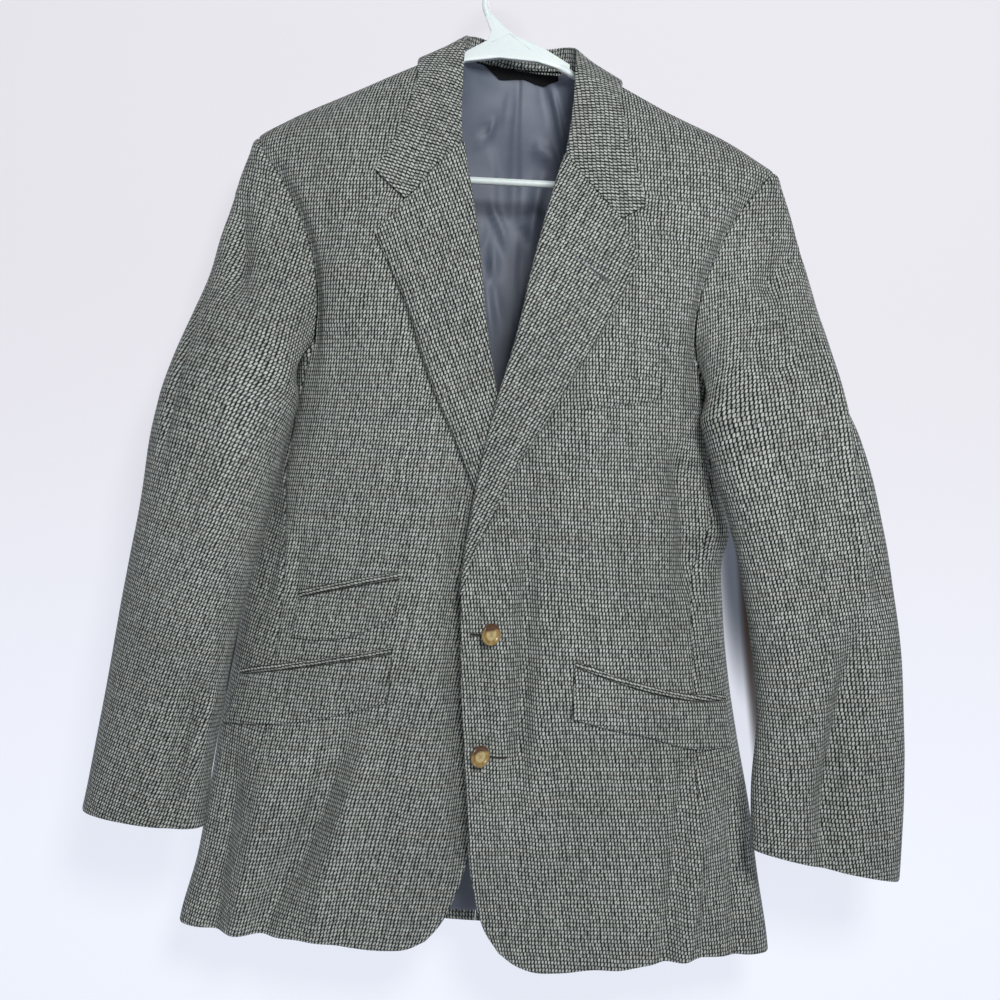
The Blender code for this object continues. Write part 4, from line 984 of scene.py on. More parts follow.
def pressed_in(distance, kind):
    """How far the cloth is pressed in, at a distance from an edge of this kind."""
    depth, width = PRESSED[kind]
    return depth * np.exp(-(distance / width) ** 2)


def grid_quads(rows, columns, start):
    """The faces of a grid of points, the first of which has number start."""
    place = np.arange(rows * columns).reshape(rows, columns) + start
    quads = np.stack([place[:-1, :-1], place[:-1, 1:], place[1:, 1:], place[1:, :-1]], -1)
    return quads.reshape(-1, 4)


def rim_quads(rows, columns):
    """The faces that close the rim between two such grids."""
    place = np.arange(rows * columns).reshape(rows, columns)
    loop = np.concatenate([place[0, :-1], place[:-1, -1], place[-1, :0:-1],
                           place[:0:-1, 0]])
    after = np.roll(loop, -1)
    inner = rows * columns
    return np.column_stack([after, loop, loop + inner, after + inner])


MADE = {}       # the finished sheets, by node


def cloth(node, place, across, up, size, edges, look, slot, wall=WALL,
          grain=((0.5, 0.5), UP), relief=None):
    """A closed thin shell: place(u, v, rise) gives points of its two faces.

    size is the sheet's width and length in millimetres, edges names how the left,
    right, lower and upper edge are finished, and relief(u, v) adds to the outer face.
    """
    u, v = (grid.ravel() for grid in np.meshgrid(across, up))
    rows, columns = len(up), len(across)
    width, length = across[-1] - across[0], up[-1] - up[0]
    distances = ((u - across[0]) / width * size[0], (across[-1] - u) / width * size[0],
                 (v - up[0]) / length * size[1], (up[-1] - v) / length * size[1])
    sink, lift = np.zeros((2, len(u)))
    for distance, kind in zip(distances, edges):
        sink = np.maximum(sink, pressed_in(distance, kind))
        if kind == "free":
            lift = np.maximum(lift, pressed_in(distance, "inside"))
    rise = relief(u, v) if relief is not None else np.zeros(len(u))
    outer = place(u, v, rise - np.minimum(sink, wall * 0.6)) * MM
    inner = place(u, v, rise - wall + np.minimum(lift, wall * 0.3)) * MM
    grid = outer.reshape(rows, columns, 3)
    normal = np.cross(grid[:-1, 1:] - grid[:-1, :-1], grid[1:, :-1] - grid[:-1, :-1])
    outward = (outer - inner).reshape(rows, columns, 3)[:-1, :-1]
    sign = 1 if (normal * outward).sum() > 0 else -1
    quads = grid_quads(rows, columns, 0)
    quads = np.concatenate([quads, grid_quads(rows, columns, len(outer))[:, ::-1],
                            rim_quads(rows, columns)])
    if sign < 0:
        quads = quads[:, ::-1]
    mesh = bpy.data.meshes.new(node + "_cloth")
    mesh.from_pydata(np.concatenate([outer, inner]).tolist(), [], quads.tolist())
    flat = eased(cut_from_cloth(grid, sign, grain), across, up, node).reshape(-1, 2)
    both = np.concatenate([flat, flat])
    layer = mesh.uv_layers.new(name="cut")
    layer.data.foreach_set("uv", both[corner_points(mesh)].ravel())
    MADE[node] = piece(node + "_cloth", mesh, look, slot, node)


# ------------------------------------------------------------------ body panels
def front_sink(side, s, z):
    """The left front's edge rolls forward; the right one dips in its shadow.

    The right front also passes beneath the left one, and beneath its lapel.
    """
    edge = np.interp(z, *EDGE_RUN)
    if side == LEFT:
        there = blend(-900, -840, z) * (1 - blend(-600, -520, z))
        return -EDGE_LIFT * there * np.exp(-((s - edge) / EDGE_LIFT_WIDTH) ** 2)
    depth = BUTTONED_LAP + (UNDERLAP - BUTTONED_LAP) * blend(-640, -600, z)
    sink = depth * (1 - blend(38, 70, s)) * (1 - blend(-418, -350, z))
    there = blend(-905, -830, z) * (1 - blend(-520, -470, z))
    return sink + EDGE_DIP * there * np.exp(-((s + edge - 5) / EDGE_DIP_WIDTH) ** 2)


SEAM_SHARE = SEAM_ROWS / (SEAM_ROWS + ARMHOLE_ROWS)
PANEL_ROWS = np.r_[np.linspace(0, SEAM_SHARE, SEAM_ROWS + 1),
                   SEAM_SHARE + (1 - SEAM_SHARE) * ARMHOLE_STEPS[1:]]


def upward(rows):
    """A seam table of (z, x) rows as a smooth (x, z) line from the hem up."""
    return smooth_path([(x, z) for z, x in reversed(rows)])


def panel(node, place, kind, across, up, edges, spot, way=UP, relief=None):
    """A tweed panel: its stops both ways, and where its weave runs which way."""
    columns, rows, width, length = GRIDS[kind]
    cloth(node, place, steps_between(across, columns, width),
          steps_between(up, rows, length), (width, length), edges, TWEED, "tweed",
          grain=(spot, way), relief=relief)


def front_panel(side):
    """From the front edge to the side seam, and from the hem to the shoulder."""
    top = shoulder_line(side)
    edge = np.vstack([smooth_path(FRONT_EDGE[side]), smooth_path(ROLL_LINE[side])[1:]])
    neck = smooth_path(neckline(side, "front")[:-1] + [tuple(top[0])], 60)
    inner = joined([edge, np.vstack([edge[-1], neck[0]]), neck],
                   [PANEL_ROWS[-5], PANEL_ROWS[-4]])
    outer = joined([upward(SIDE_SEAM[side]), armhole(side, "front")], [SEAM_SHARE])

    def place(u, v, rise):
        x, z = coons(single(smooth_path(FRONT_HEM[side])), single(top), inner, outer,
                     u, v).T
        s = SKIN[side].girth_at(x, z) - SEAM
        return on_body(side, s, z, rise - front_sink(side, s, z))
    panel(f"{SIDES[side]}_front", place, "front", [0, 1], PANEL_ROWS,
          ("free", "seam", "free", "seam"), (0.6, 0.45))


def side_body(side):
    """The narrow panel under the arm."""
    front_seam = skin_line(side, upward(SIDE_SEAM[side]), "front", SEAM)
    back_seam = skin_line(side, upward(BACK_SEAM), "back", -SEAM)
    ends = front_seam(np.zeros(1))[0], back_seam(np.zeros(1))[0]
    hem = smooth_path([ends[0], (ends[0] + ends[1]) / 2, ends[1]])

    def place(u, v, rise):
        s, z = coons(single(hem), single(underarm(side, -SEAM)),
                     front_seam, back_seam, u, v).T
        return on_body(side, s, z, rise)
    panel(f"{SIDES[side]}_side_body", place, "side_body", [0, 1], [0, 1],
          ("seam", "seam", "free", "seam"), (0.5, 0.45))


def back_panel(side):
    """From the centre back to the side body, and from the hem to the neck."""
    neck = neckline(side, "back")
    shoulder = shoulder_line(side)
    centre = np.array([(0.0, BACK_HEM_Z), neck[0]])
    outer = joined([upward(BACK_SEAM), armhole(side, "back")], [SEAM_SHARE])
    hem = smooth_path([centre[0], (120.0, BACK_HEM_Z), (BACK_SEAM[-1][::-1])])
    neck_share = NECK_COLUMNS / (NECK_COLUMNS + SHOULDER_COLUMNS)
    top = joined([smooth_path(neck + [tuple(shoulder[0])]), shoulder], [neck_share])

    def place(u, v, rise):
        x, z = coons(single(hem), top, single(centre), outer, u, v).T
        from_centre = np.clip(2 * u / neck_share - 1, -1, 1)
        s = SKIN[side].girth_at(x, z, "back") + SEAM * from_centre
        return on_body(side, s, z, rise)
    panel(f"{SIDES[side]}_back", place, "back", [0, neck_share, 1], PANEL_ROWS,
          ("seam", "seam", "free", "seam"), (0.3, 0.5))


# ------------------------------------------------------------------ sleeves
def leaning(degrees):
    """Upward in the front view, but leaning towards the wearer's left."""
    lean = math.radians(degrees)
    return math.sin(lean), 0.0, math.cos(lean)


class Sleeve:
    """A tube from the armhole to the cuff, by turn (0 to 1) and by row.

    The turn starts at the shoulder tip and runs down the front of the armhole,
    under the arm and up the back.
    """
    COLUMNS = 2 * ARMHOLE_ROWS + UNDERARM_COLUMNS
    TURN_ANGLES = ((0, -6), (0.165, 62), (0.333, 160), (0.41, 192), (0.5, 235),
                   (0.667, 275), (0.835, 316), (1, 354))

    def __init__(self, side):
        self.side = side
        first = ARMHOLE_ROWS / self.COLUMNS
        front = skin_line(side, armhole(side, "front")[::-1])
        back = skin_line(side, armhole(side, "back"), "back")
        self.parts = ((0.0, first, front), (first, 1 - first, single(underarm(side))),
                      (1 - first, 1.0, back))

    def seam(self, turn):
        """Girth and height of the armhole seam."""
        line = np.zeros((len(turn), 2))
        for low, high, path in self.parts:
            inside = (turn >= low) & (turn <= high)
            line[inside] = path((turn[inside] - low) / (high - low))
        return line

    def start(self, turn):
        """The seam and the direction in which the sleeve leaves it."""
        turn = np.mod(turn, 1.0)
        s, z = self.seam(turn).T
        point = on_body(self.side, s, z, np.zeros_like(s))
        before = self.seam(np.clip(turn - 0.004, 0, 1))
        after = self.seam(np.clip(turn + 0.004, 0, 1))
        course = (on_body(self.side, *after.T, np.zeros_like(s))
                  - on_body(self.side, *before.T, np.zeros_like(s)))
        away = unit(np.cross(skin_normal(self.side, s, z), course) * self.side)
        return point + away * 1.4 * SEAM, away

    def ring(self, turn, z_row):
        """A point of the tube below the armhole, z_row is its table height."""
        angle = np.radians(smooth_columns(self.TURN_ANGLES, turn)[:, 0])
        inner_x, inner_y, outer_x, outer_y, half = smooth_columns(
            SLEEVES[self.side], z_row).T
        middle = np.column_stack([(inner_x + outer_x) / 2, (inner_y + outer_y) / 2])
        arm = np.column_stack([(outer_x - inner_x) / 2, (outer_y - inner_y) / 2])
        length = np.linalg.norm(arm, axis=1)[:, None]
        front = np.column_stack([arm[:, 1], -arm[:, 0]]) / length * half[:, None]
        power = 2 / SLEEVE_ROUND
        cosine = np.sign(np.cos(angle)) * np.abs(np.cos(angle)) ** power
        sine = np.sign(np.sin(angle)) * np.abs(np.sin(angle)) ** power
        flat = middle + arm * cosine[:, None] + front * sine[:, None]
        drop_inner, drop_outer = CUFF_DROP[self.side]
        last = SLEEVES[self.side][-1][0]
        slant = blend(last + 220, last, z_row)
        share = (cosine + 1) / 2
        z = z_row + slant * (drop_inner * (1 - share) + drop_outer * share)
        return np.column_stack([CENTRE_X + self.side * flat[:, 0], flat[:, 1], z])

    def skin(self, turn, length):
        """length 0 to 1 is the sleeve head, 1 to 2 is the tube."""
        top, foot = SLEEVES[self.side][0][0], SLEEVES[self.side][-1][0]
        tube = np.clip(length - 1, -0.05, 1.05)
        below = self.ring(turn, top + (foot - top) * tube)
        point, away = self.start(turn)
        target = self.ring(turn, np.full(len(turn), float(top)))
        further = self.ring(turn, np.full(len(turn), top - 12.0))
        down = (further - target) / 12.0
        span = np.linalg.norm(target - point, axis=1)[:, None]
        near_tip = np.cos(turn * 2 * math.pi)[:, None] * 0.5 + 0.5
        outward = skin_normal(self.side, *self.seam(turn).T)
        droop = blend(0.18, 0.4, turn)[:, None] * np.array([0.0, 0.0, -HEAD_DROOP])
        leave = (away * (HEAD_LEAVE_UNDER + HEAD_LEAVE_TIP * near_tip ** 1.5)
                 + outward * HEAD_PUSH * (1 - near_tip) ** 3 + droop)
        arrive = down * span * (0.75 + 0.35 * near_tip)
        t = np.clip(length, -0.05, 1)[:, None]
        head = hermite(t, point, leave, target, arrive)
        return np.where((length <= 1)[:, None], head, below)

    def place(self, turn, length, rise):
        """A point rise millimetres outside the sleeve."""
        wrap = np.mod(turn, 1.0)
        point = self.skin(wrap, length)
        across = (self.skin(np.mod(turn + 0.01, 1.0), length)
                  - self.skin(np.mod(turn - 0.01, 1.0), length))
        upper = np.maximum(length - 0.02, 0.0)
        lower = np.minimum(length + 0.02, 2.0)
        down = self.skin(wrap, lower) - self.skin(wrap, upper)
        normal = unit(np.cross(across, down) * self.side)
        tip = blend(0.2, 0.9, np.cos(wrap * 2 * math.pi))
        near_seam = (tip * (1 - blend(0, 0.12, length)))[:, None]
        body = skin_normal(self.side, *self.seam(wrap).T)
        normal = unit(normal * (1 - near_seam) + body * near_seam)
        return point + normal * rise[:, None]


ARMHOLE_SHARE = ARMHOLE_ROWS / Sleeve.COLUMNS
TURNS = np.r_[ARMHOLE_SHARE * (1 - ARMHOLE_STEPS[:0:-1]),
              np.linspace(ARMHOLE_SHARE, 1 - ARMHOLE_SHARE, UNDERARM_COLUMNS + 1),
              1 - ARMHOLE_SHARE * (1 - ARMHOLE_STEPS[1:])]
UNDER_START = ARMHOLE_ROWS + 2      # columns at which the sleeve's two seams run
UNDER_END = ARMHOLE_ROWS + UNDERARM_COLUMNS + 3
SLEEVE_STEPS = np.r_[np.linspace(0, 1, SLEEVE_HEAD_ROWS + 1),
                     np.linspace(1, 2, SLEEVE_ROWS + 1)[1:]]


def sleeve_relief(sleeve, turn, length):
    """Creases on the sleeve's front, slow swells all round, and the rope at its head."""
    wrap = np.mod(turn, 1.0)
    here = sleeve.skin(wrap, length)
    side = sleeve.side
    x, z = side * (here[:, 0] - CENTRE_X), here[:, 2]
    middle = sleeve.skin(np.mod(wrap + 0.5, 1.0), length)
    front = blend(-8, 14, (middle - here)[:, 1])
    away = blend(0.03, 0.3, length)
    creases = SLEEVE_CREASES[side]
    height = front * crease_height(creases, x, z) * away
    height += (1 - front) * 0.8 * crease_height(creases, x + 6, z - 18) * away
    around = wrap * 5.0
    height += away * swells(SLEEVE_SWELLS, (1.1, around + 11 * (side + 1), z / 78),
                            (0.4, around * 2.6 + 5, z / 36 + 7 * side))
    tip = blend(0.0, 0.8, np.cos(wrap * 2 * math.pi))
    rope = np.exp(-((length * 105 - 9) / 5.5) ** 2)
    return height + 1.4 * tip * rope


def sleeve_pieces(side):
    """The under sleeve and the top sleeve, cut from one tube."""
    sleeve = Sleeve(side)
    under = TURNS[UNDER_START:UNDER_END + 1]
    top = np.r_[TURNS[UNDER_END:-1] - 1, TURNS[:UNDER_START + 1]]
    for name, turns, grain_turn in (("under", under, 0.3), ("top", top, 0.75)):
        turns = turns + np.r_[SLEEVE_GAP, np.zeros(len(turns) - 2), -SLEEVE_GAP]
        panel(f"{SIDES[side]}_{name}_sleeve", sleeve.place, name + "_sleeve", turns,
              SLEEVE_STEPS, ("seam", "seam", "seam", "free"), (grain_turn, 0.5),
              leaning(ARM_LEAN[side]),
              relief=lambda turn, length: sleeve_relief(sleeve, turn, length))


# ------------------------------------------------------------------ lapels, collar
def lapel(side):
    """The lapel turns over at the roll line and lies on the front."""
    foot = LAPEL_FOOT_Z[side]
    roll = smooth_path(ROLL_LINE[side])
    roll = roll[(roll[:, 1] >= foot) & (roll[:, 1] <= LAPEL_TOP[side][0][1] + 2)]
    edge = smooth_path(LAPEL_EDGE[side])
    top = smooth_path(LAPEL_TOP[side])
    foot_line = np.vstack([roll[0], edge[0]])

    def place(u, v, rise):
        x, z = coons(single(foot_line), single(top), single(roll), single(edge),
                     np.clip(u, 0, 1), v).T
        width = np.hypot(*(along(edge, v) - along(roll, v)).T)
        turned = np.clip(-u, 0, 1)
        x = x - LAPEL_ROLL_REACH * np.sin(turned * math.pi / 2)
        s = SKIN[side].girth_at(x, z)
        off_roll = np.clip(u, 0, 1) * width
        swell = blend(0, 14, off_roll) * (1 - blend(14, 60, off_roll))
        height = LAPEL_RISE - LAPEL_ROLL_DROP * turned ** 1.5 + LAPEL_SWELL * swell
        height -= LAPEL_EDGE_SINK * blend(0.5, 1.0, u) * blend(0.0, 0.2, v)
        return on_body(side, s, z, height + rise - front_sink(side, s, z))
    columns, rows, width, length = GRIDS["lapel"]
    across = np.r_[np.linspace(-1, 0, LAPEL_ROLL_COLUMNS + 1)[:-1],
                   steps_between([0, 1], columns, width)]
    cloth(f"{SIDES[side]}_lapel", place, across, steps_between([0, 1], rows, length),
          (2 * width, length), ("held", "free", "free", "held"), TWEED, "tweed",
          grain=((0.65, 0.6), leaning(LAPEL_LEAN[side])))


def collar_rows():
    """Stations from the wearer's right notch round the back to the left one."""
    return ([(RIGHT, row) for row in reversed(COLLAR[RIGHT])]
            + [(LEFT, row) for row in COLLAR[LEFT][1:]])


def collar_lines():
    """Five lines along the collar: seam, stand, roll, swell and leaf edge."""
    stations = []
    for side, row in collar_rows():
        seam, roll, (edge_x, edge_z, face, bulge) = row[:3], row[3:6], row[6:]
        z = np.array([float(edge_z)])
        s = SKIN[side].girth_at(np.array([float(edge_x)]), z, face)
        edge = on_body(side, s, z, np.array([LAPEL_RISE + LEAF_RISE]))[0]
        seam, roll = (np.array([CENTRE_X + side * x, y, z]) for x, y, z in (seam, roll))
        if face == "front":
            height = np.array([float(row[2])])
            girth = SKIN[side].girth_at(np.array([float(row[0])]), height)
            seam = on_body(side, girth, height, np.array([-STAND_DEPTH]))[0]
        outward = skin_normal(side, s, z)[0]
        stations.append((seam, seam * 0.45 + roll * 0.55, roll,
                         roll * 0.55 + edge * 0.45 + outward * bulge, edge))
    return np.array(stations).transpose(1, 0, 2)


COLLAR_LINES = collar_lines()


def collar_end(side, share):
    """The gorge seam and the collar's end, from the roll to the point."""
    row = COLLAR[side][-1]
    rows = [(x, z + 2.0) for x, z in LAPEL_TOP[side][:3]]
    rows[0] = (rows[0][0] - LAPEL_ROLL_REACH, rows[0][1])
    corner = COLLAR_NOTCH[side]
    point = (row[6], row[7])
    gorge, end = smooth_path(rows + [corner], 60), np.array([corner, point])
    x, z = joined([gorge, end], [NOTCH_SHARE])(share).T
    return on_body(side, SKIN[side].girth_at(x, z), z,
                   LAPEL_RISE + 0.2 + 0.7 * (1 - blend(0.55, NOTCH_SHARE, share)))


def across_collar(stations, w):
    """A smooth curve over the collar, through one point of each line, read at w."""
    stops = np.array(COLLAR_STOPS)
    slopes = np.gradient(stations, stops, axis=0)
    low = np.clip(np.searchsorted(stops, w, side="right") - 1, 0, len(stops) - 2)
    pick = np.arange(len(w))
    step = (stops[low + 1] - stops[low])[:, None]
    return hermite((w - stops[low])[:, None] / step, stations[low, pick],
                   step * slopes[low, pick], stations[low + 1, pick],
                   step * slopes[low + 1, pick])


def collar_skin(t, w):
    """t runs from the wearer's right end to the left, w from the seam to the edge."""
    count = len(COLLAR_LINES[0])
    t = np.clip(t, 0, 1)
    stations = np.array([smooth_columns(
        np.column_stack([np.linspace(0, 1, count), line]), t) for line in COLLAR_LINES])
    body = across_collar(stations, w)
    roll = COLLAR_STOPS[2]
    for side in SIDES:
        near = t if side == LEFT else 1 - t
        pull = blend(1 - COLLAR_END / (count - 1), 1, near) * blend(roll, roll + 0.08, w)
        cut = collar_end(side, np.clip((w - roll) / (1 - roll), 0, 1))
        ends = COLLAR_LINES[:, -1 if side == LEFT else 0][:, None]
        plain = across_collar(np.repeat(ends, len(w), axis=1), w)
        body = body + (cut - plain) * pull[:, None]
    return body


def collar():
    """Stand, roll and leaf in one piece, from notch to notch."""
    def place(t, w, rise):
        along_it = collar_skin(t + 0.006, w) - collar_skin(t - 0.006, w)
        over = (collar_skin(t, np.minimum(w + 0.02, 1))
                - collar_skin(t, np.maximum(w - 0.02, 0)))
        return collar_skin(t, w) - unit(np.cross(over, along_it)) * rise[:, None]
    roll = COLLAR_STOPS[2]
    notch = roll + (1 - roll) * NOTCH_SHARE
    panel("collar", place, "collar", np.linspace(0, 1, COLLAR_COLUMNS + 1),
          [0.0, roll, notch, 1.0], ("free", "free", "seam", "free"), (0.5, 0.7),
          (0.0, 0.1, 1.0))


# ------------------------------------------------------------------ pockets, trim
def patch_on_front(node, counts, side, top, bottom, rise_at, edges, wall,
                   relief=None, way=UP):
    """A piece laid on the front between an upper and a lower edge."""
    upper, lower = smooth_path(top), smooth_path(bottom)

    def place(u, v, rise):
        x, z = (along(lower, u) * (1 - v)[:, None] + along(upper, u) * v[:, None]).T
        return on_body(side, SKIN[side].girth_at(x, z), z, rise + rise_at(u, v))
    columns, rows, width, length = counts
    cloth(node, place, steps_between([0, 1], columns, width),
          steps_between([0, 1], rows, length, close=(0.5, 1.3)), (width, length), edges,
          TWEED, "tweed", wall=wall, relief=relief, grain=((0.5, 0.5), way))


def bead(u, v):
    """A rounded strip, highest along its middle."""
    return 0.9 * np.sqrt(np.clip(1 - (2 * v - 1) ** 2, 0, 1)) - 0.5


def pockets():
    """Three flaps under their jettings, and the welt of the breast pocket."""
    for name, pocket in FLAPS.items():
        side, strip = pocket["side"], pocket["jetting"]
        patch_on_front(
            name, GRIDS["flap"], side, [(x, z + FLAP_TUCK) for x, z in pocket["top"]],
            pocket["bottom"],
            lambda u, v: FLAP_RISE + FLAP_LIFT * (1 - v) * (0.6 + 0.4 * np.abs(2 * u - 1)),
            ("free", "free", "free", "seam"), FLAP_WALL)
        width = pocket["jetting_width"]
        upper, lower = ([(x, z + off) for x, z in strip] for off in (width / 2, -width / 2))
        patch_on_front(
            name.replace("flap", "jetting"), (*GRIDS["jetting"], width), side, upper, lower,
            lambda u, v: np.full_like(v, JETTING_RISE), ("free", "free", "seam", "seam"),
            JETTING_WALL, relief=bead,
            way=(side * (strip[-1][0] - strip[0][0]), 0.0, strip[-1][1] - strip[0][1]))
    patch_on_front("breast_welt", GRIDS["welt"], LEFT, WELT_TOP, WELT_BOTTOM,
                   lambda u, v: np.full_like(v, WELT_RISE),
                   ("free", "free", "seam", "free"), FLAP_WALL)


def neck_ring(x):
    """The lining's course inside the collar's stand, for x from -1 to 1."""
    points = np.zeros((len(x), 3))
    for side in SIDES:
        rows = np.array([row[:3] for row in COLLAR[side][:5]], dtype=float)
        seam = smooth_path(rows, 60)
        mine = (x >= 0) if side == LEFT else (x < 0)
        spot = along(seam, np.abs(x[mine]))
        points[mine] = np.column_stack([
            CENTRE_X + side * spot[:, 0] * NECK_NARROWER,
            spot[:, 1] * NECK_SHALLOWER - NECK_FORWARD, spot[:, 2]])
    return points


def sewn(label, line, radius, look, slot="tweed", **form):
    """A thread, as a thin rod along a line of points."""
    piece(label, tube_mesh(label, line, radius, **form), look, slot)


def seam_shadow_lines():
    """Dark rods painted as the shadow lines beside each jetting and down the slit at a
    flap's inner end.
    """
    for name, pocket in FLAPS.items():
        half = pocket["jetting_width"] / 2 + SEAM
        course = smooth_path(pocket["jetting"])
        slit = np.array([pocket["top"][0], pocket["bottom"][0]], dtype=float)
        lines = {"above": course + (0, half), "below": course - (0, half),
                 "slit": slit - (0.9, 0)}
        for place, line in lines.items():
            x, z = along(line, np.linspace(0.0, 0.97, 60)).T
            s = SKIN[pocket["side"]].girth_at(x, z)
            rise = SEAM_SHADOW_RISE[place]
            points = on_body(pocket["side"], s, z, np.full(len(s), rise))
            # painted shadow: a dark rod in the dark thread's material
            sewn(f"{name}_thread_{place}", points, 0.42, DARK_THREAD_AND_SHADOW, sides=6)


def lining_relief(x, z):
    """The ease pleat down the centre and the satin's own soft wrinkles."""
    line = smooth_path(PLEAT, 60)[::-1]
    off = x - np.interp(z, line[:, 1], line[:, 0])
    fold = 1.5 * blend(-1.2, 0.4, off) * (1 - blend(0.4, 16, off))
    groove = 0.5 * np.exp(-((off + 1.6) / 1.6) ** 2)
    height = fold - groove + crease_height(LINING_CREASES, x, z)
    height += (1 - blend(-130, -80, z)) * swells(
        LINING_SWELLS, (1.0, x / 26 + 3, z / 62), (0.45, x / 11 + z / 40, z / 24 + 5))
    return np.where(height < 0, LINING_ROOM * np.tanh(height / LINING_ROOM), height)


def back_lining():
    """Satin behind the V, from the neck to a little above the hem."""
    def place(u, v, rise):
        x = (u - 0.5) * 2
        neck_z = COLLAR[LEFT][0][2] - LINING_NECK_DROP - LINING_NECK_TILT * x
        z = LINING_HEM_Z + (neck_z - LINING_HEM_Z) * v
        points = np.zeros((len(u), 3))
        for side in SIDES:
            mine = (x >= 0) if side == LEFT else (x < 0)
            distance = np.abs(x[mine]) * LINING_REACH
            s = SKIN[side].read(SKIN[side].total, z[mine], None) - distance
            points[mine] = on_body(side, s, z[mine],
                                   rise[mine] - WALL - LINING_CLEAR - LINING_EASE)
        near_neck = blend(0.87, 1.0, v)
        ring = neck_ring(x)
        ring[:, 2] = z
        ring[:, 1] += rise
        points += (ring - points) * near_neck[:, None]
        points[:, 1] -= lining_relief(points[:, 0] - CENTRE_X, z)
        return points
    columns, rows, width, length = GRIDS["lining"]
    cloth("back_lining", place, steps_between([0, 1], columns, width),
          steps_between([0, 0.56, 0.89, 1], rows, length), (width, length),
          ("held", "held", "free", "held"), SATIN, "satin_lining", wall=LINING_WALL,
          grain=((0.5, 0.6), UP))


def neck_label():
    """A blank black label under the collar stand, its lower edge a little arched."""
    def place(u, v, rise):
        foot, head = (np.array(low) + (np.array(high) - low) * u[:, None]
                      for low, high in (LABEL_FOOT, LABEL_TOP))
        foot[:, 1] += LABEL_ARCH * np.sin(math.pi * u) ** 2
        x, z = (foot + (head - foot) * v[:, None]).T
        points = neck_ring(x / 96.0)
        points[:, 0] = CENTRE_X + x
        points[:, 1] += rise - LINING_WALL - LABEL_CLEAR - 0.03 * np.abs(x)
        points[:, 2] = z
        return points
    columns, rows, width, length = GRIDS["label"]
    cloth("neck_label", place, steps_between([0, 1], columns, width),
          steps_between([0, 1], rows, length, close=(0.5,)), (width, length),
          ("held", "held", "held", "held"), LABEL, "black_label", wall=LABEL_WALL,
          grain=((0.5, 0.5), UP))


# ------------------------------------------------------------------ turned and bent pieces
def piece(name, mesh, look, slot, *nodes):
    """Put a mesh in the scene as a piece of the jacket."""
    mesh.polygons.foreach_set("use_smooth", np.ones(len(mesh.polygons), dtype=bool))
    mesh.materials.clear()
    mesh.materials.append(look)
    made = in_scene(name, mesh)
    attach(made, "root")
    if nodes:
        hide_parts(*nodes)
    return made


def tube_mesh(name, points, radius, closed=False, sides=10):
    """A round rod along points, in millimetres."""
    data = bpy.data.curves.new(name, "CURVE")
    data.dimensions = "3D"
    data.bevel_depth = radius * MM
    data.bevel_resolution = max(0, sides // 2 - 2)
    data.use_fill_caps = not closed
    draw(data, points, closed)
    return curve_to_mesh(name, data)


def draw(data, points, closed):
    """Draw straight lines through points, in millimetres, on a curve."""
    spline = data.splines.new("POLY")
    spline.points.add(len(points) - 1)
    for point, place in zip(spline.points, points):
        point.co = (*(np.array(place) * MM), 1.0)
    spline.use_cyclic_u = closed


def evaluated_mesh(made):
    """The mesh of an object as its curve or its modifiers shape it."""
    bpy.context.view_layer.update()
    graph = bpy.context.evaluated_depsgraph_get()
    return bpy.data.meshes.new_from_object(made.evaluated_get(graph))


def curve_to_mesh(name, data, turn=None):
    """A curve's closed mesh, turned about the origin if a turn is given."""
    shaped = in_scene(name + "_line", data)
    mesh = evaluated_mesh(shaped)
    mesh.name = name
    form = bmesh.new()
    form.from_mesh(mesh)
    bmesh.ops.remove_doubles(form, verts=form.verts, dist=0.00001)
    if turn is not None:
        bmesh.ops.transform(form, matrix=turn, verts=form.verts)
    bmesh.ops.recalc_face_normals(form, faces=form.faces)
    form.to_mesh(mesh)
    form.free()
    bpy.data.objects.remove(shaped)
    return mesh


def disc(profile, radius):
    """A turned solid about Y, from shares of a radius and heights towards the front."""
    form = bmesh.new()
    layers = []
    for share, height in profile:
        if share == 0.0:
            layers.append([form.verts.new((0, -height * MM, 0))] * BUTTON_SIDES)
            continue
        layers.append([form.verts.new((share * radius * math.cos(a) * MM, -height * MM,
                                       share * radius * math.sin(a) * MM))
                       for a in np.linspace(0, 2 * math.pi, BUTTON_SIDES,
                                            endpoint=False)])
    for first, second in zip(layers, layers[1:]):
        for n in range(BUTTON_SIDES):
            m = (n + 1) % BUTTON_SIDES
            corners = [first[n], first[m], second[m], second[n]]
            form.faces.new(list(dict.fromkeys(corners)))
    bmesh.ops.recalc_face_normals(form, faces=form.faces)
    return form


def button(node, x, z):
    """A dished horn disc with a rim, turned on its own axis; its four holes are dark rods of
    painted shade.
    """
    half = BUTTON_THICKNESS / 2
    profile = smooth_path(((0.0, 0.75), (0.3, 0.75), (0.55, 0.85), (0.66, 1.2),
                           (0.78, 1.9), (0.88, half), (0.96, 1.7), (1.0, 0.6),
                           (0.99, -0.5), (0.9, -1.4), (0.6, -half), (0.0, -half)), 46)
    profile[0, 0] = profile[-1, 0] = 0.0
    form = disc(profile, BUTTON_DIAMETER / 2)
    s, height = np.array([float(x)]), np.array([float(z)])
    centre = on_body(LEFT, s, height, half + BUTTON_SHANK - front_sink(LEFT, s, height))[0]
    turn = Matrix.Rotation(math.radians(BUTTON_TURN), 4, "Z")
    bmesh.ops.transform(form, matrix=Matrix.Translation(centre * MM) @ turn,
                        verts=form.verts)
    mesh = bpy.data.meshes.new(node + "_horn")
    form.to_mesh(mesh)
    form.free()
    look = horn(node + "_look", centre * MM, *HORN_LOOKS[node])
    piece(node + "_horn", mesh, look, "horn", node)
    shadow_line(node, centre, half)


